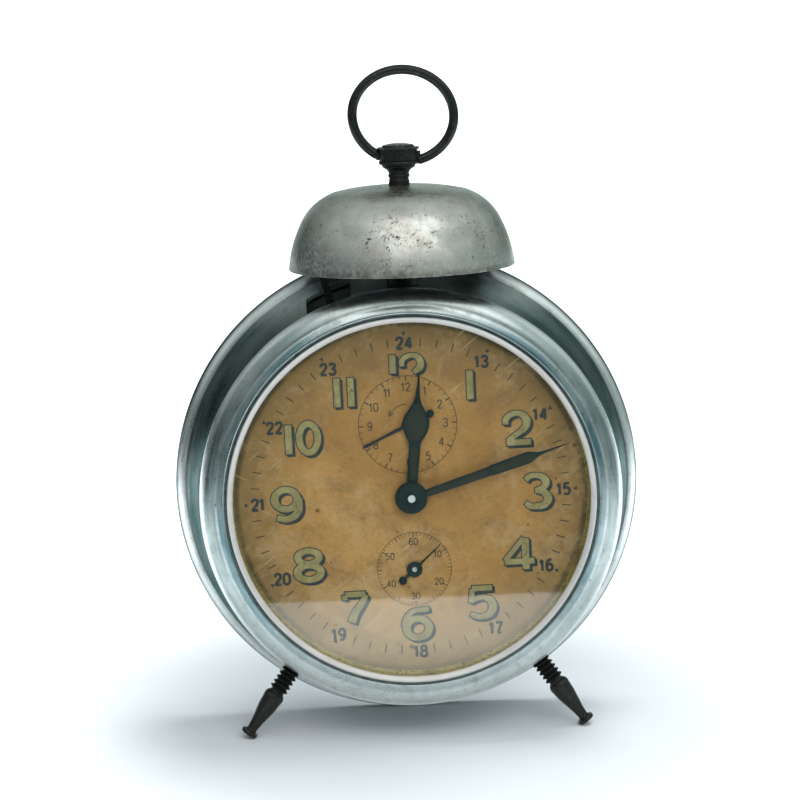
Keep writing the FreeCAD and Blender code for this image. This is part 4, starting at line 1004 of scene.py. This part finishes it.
FRONT_EDGE, LIT = -0.434, (0.96, 0.985, 1.0)
floor_obj = flat_sheet("floor", [(-5, FRONT_EDGE, 0), (5, FRONT_EDGE, 0), (5, 6, 0), (-5, 6, 0)])
p = Paint("pale_floor")
x, y, _ = p.xyz()
# painted light: the floor glows, more the farther it lies from the clock, so only the shadow near the clock stays
# dark
glow = p.band(p.length(x, p.sub(y, 0.02)), 0.056, 0.165)
floor_colour = p.mix(p.noise(60.0, 3.0, 0.5), (0.62, 0.66, 0.70), (0.64, 0.68, 0.72))
floor_obj.data.materials.append(p.surface(Base_Color=floor_colour, Roughness=0.75, Specular_IOR_Level=0.2,
                                          Emission_Color=LIT, Emission_Strength=glow))
# the same paper as the polished metal sees it: a strip, with the dark room on both sides; painted light: the strip
# glows, weakly and in patches near the clock and fully at its sides and front, so the metal mirrors a bright floor
strip_obj = flat_sheet("paper_strip", [
    (x, y, -0.0002) for x, y in ((-0.5, FRONT_EDGE), (0.5, FRONT_EDGE), (0.5, 0.3), (0.8, 4.0), (-0.8, 4.0),
                                 (-0.5, 0.3))])
p = Paint("lit_paper")
x, y, _ = p.xyz()
near = p.mul(p.band(y, -0.30, -0.16), p.band(y, 0.25, 0.12))
sheen = p.patch(60.0, 3.0, 0.5, 0.3, 0.7, 0.40, 0.46)
outer = p.math("MAXIMUM", p.band(p.math("ABSOLUTE", x), 0.09, 0.30), p.band(y, -0.12, -0.27))
strip_obj.data.materials.append(p.surface(
    Base_Color=p.mix(sheen, (0.66, 0.70, 0.74), (0.68, 0.72, 0.76)), Roughness=0.75, Emission_Color=LIT,
    Emission_Strength=p.math("MAXIMUM", p.mul(near, sheen), outer)))
floor_obj.visible_glossy = floor_obj.visible_shadow = False
strip_obj.visible_camera = strip_obj.visible_diffuse = strip_obj.visible_shadow = False

world = bpy.data.worlds.new("studio")
bpy.context.scene.world = world
world.use_nodes = True
wt = world.node_tree
wt.nodes.clear()


def wnode(kind, inputs=None, **props):
    return add_node(wt, kind, inputs, **props)


def wband(value, lo, hi, a=0.0, b=1.0):
    return wnode("MapRange", {"Value": value, "From Min": lo, "From Max": hi, "To Min": a, "To Max": b},
                 interpolation_type="SMOOTHSTEP").outputs["Result"]


def wmath(op, a, b):
    return wnode("Math", {0: a, 1: b}, operation=op).outputs[0]


# the camera sees a plain white ground; everything else sees a dim room with a white wall behind and above
sep = wnode("SeparateXYZ", {0: wnode("TexCoord").outputs["Generated"]})
dx, dy, dz = sep.outputs
back = wmath("MULTIPLY", wband(dy, 0.86, 0.97, 0.0, 1.0), wband(dz, 0.36, 0.16, 0.12, 1.0))
top = wmath("MULTIPLY", wband(dz, 0.12, 0.80, 0.0, 0.55), wband(dy, 0.7, 0.0, 0.65, 1.0))
room = wmath("ADD", wband(dx, 0.05, 0.9, 0.045, 0.30), wband(dz, -0.1, 0.4, 0.01, 0.10))
white = wnode("Background", {"Color": (0.95, 0.99, 1.0, 1.0), "Strength": wmath("ADD", back, top)})
dim = wnode("Background", {"Color": (0.82, 0.99, 0.96, 1.0), "Strength": room})
room_light = wnode("AddShader", {0: white.outputs[0], 1: dim.outputs[0]})
plain = wnode("Background", {"Color": (0.97, 0.99, 1.0, 1.0), "Strength": 1.05})
seen = wnode("MixShader", {0: wnode("LightPath").outputs["Is Camera Ray"], 1: room_light.outputs[0],
                           2: plain.outputs[0]})
wt.links.new(seen.outputs[0], wnode("OutputWorld").inputs[0])


def area(name, at, aim, size, energy, colour, gloss=True):
    data = bpy.data.lights.new(name, "AREA")
    data.shape = "RECTANGLE"
    data.size, data.size_y = size
    data.energy = energy
    data.color = colour
    light = place(name, data)
    light.location = at
    light.rotation_mode = "QUATERNION"
    light.rotation_quaternion = (Vector(aim) - Vector(at)).to_track_quat("-Z", "Y")
    light.visible_camera = False
    light.visible_glossy = gloss


area("softbox_front", (0.12, -0.62, 1.0), (0, 0, 0.08), (1.3, 0.9), 4.2, (1.0, 0.99, 0.97))
area("softbox_top", (0.22, 0.20, 1.2), (0, 0, 0.05), (0.5, 0.4), 9.0, (0.98, 1.0, 1.0), False)
area("fill_front", (0.25, -1.0, 0.72), (0, 0, 0.06), (1.0, 0.8), 6.0, (1.0, 0.985, 0.95), False)

cam_data = bpy.data.cameras.new("camera")
cam = place("camera", cam_data)
cam_data.sensor_width = 36.0
cam_data.lens = 164.34
cam_data.clip_start, cam_data.clip_end = 0.05, 20
eye = CLOCK @ (Vector((-32.41, -902.13, 154.61)) * MM)
look = CLOCK @ (Vector((-2.204, 0.0, 25.727)) * MM)
ahead = (look - eye).normalized()
side = ahead.cross(UP).normalized()
rise = side.cross(ahead)
roll = math.radians(1.929)
cam_right = side * math.cos(roll) - rise * math.sin(roll)
cam_up = side * math.sin(roll) + rise * math.cos(roll)
cam.matrix_world = Matrix.Translation(eye) @ Matrix((cam_right, cam_up, -ahead)).transposed().to_4x4()
bpy.context.scene.camera = cam
bpy.context.scene.view_settings.view_transform = "Standard"
bpy.context.scene.view_settings.look = "None"
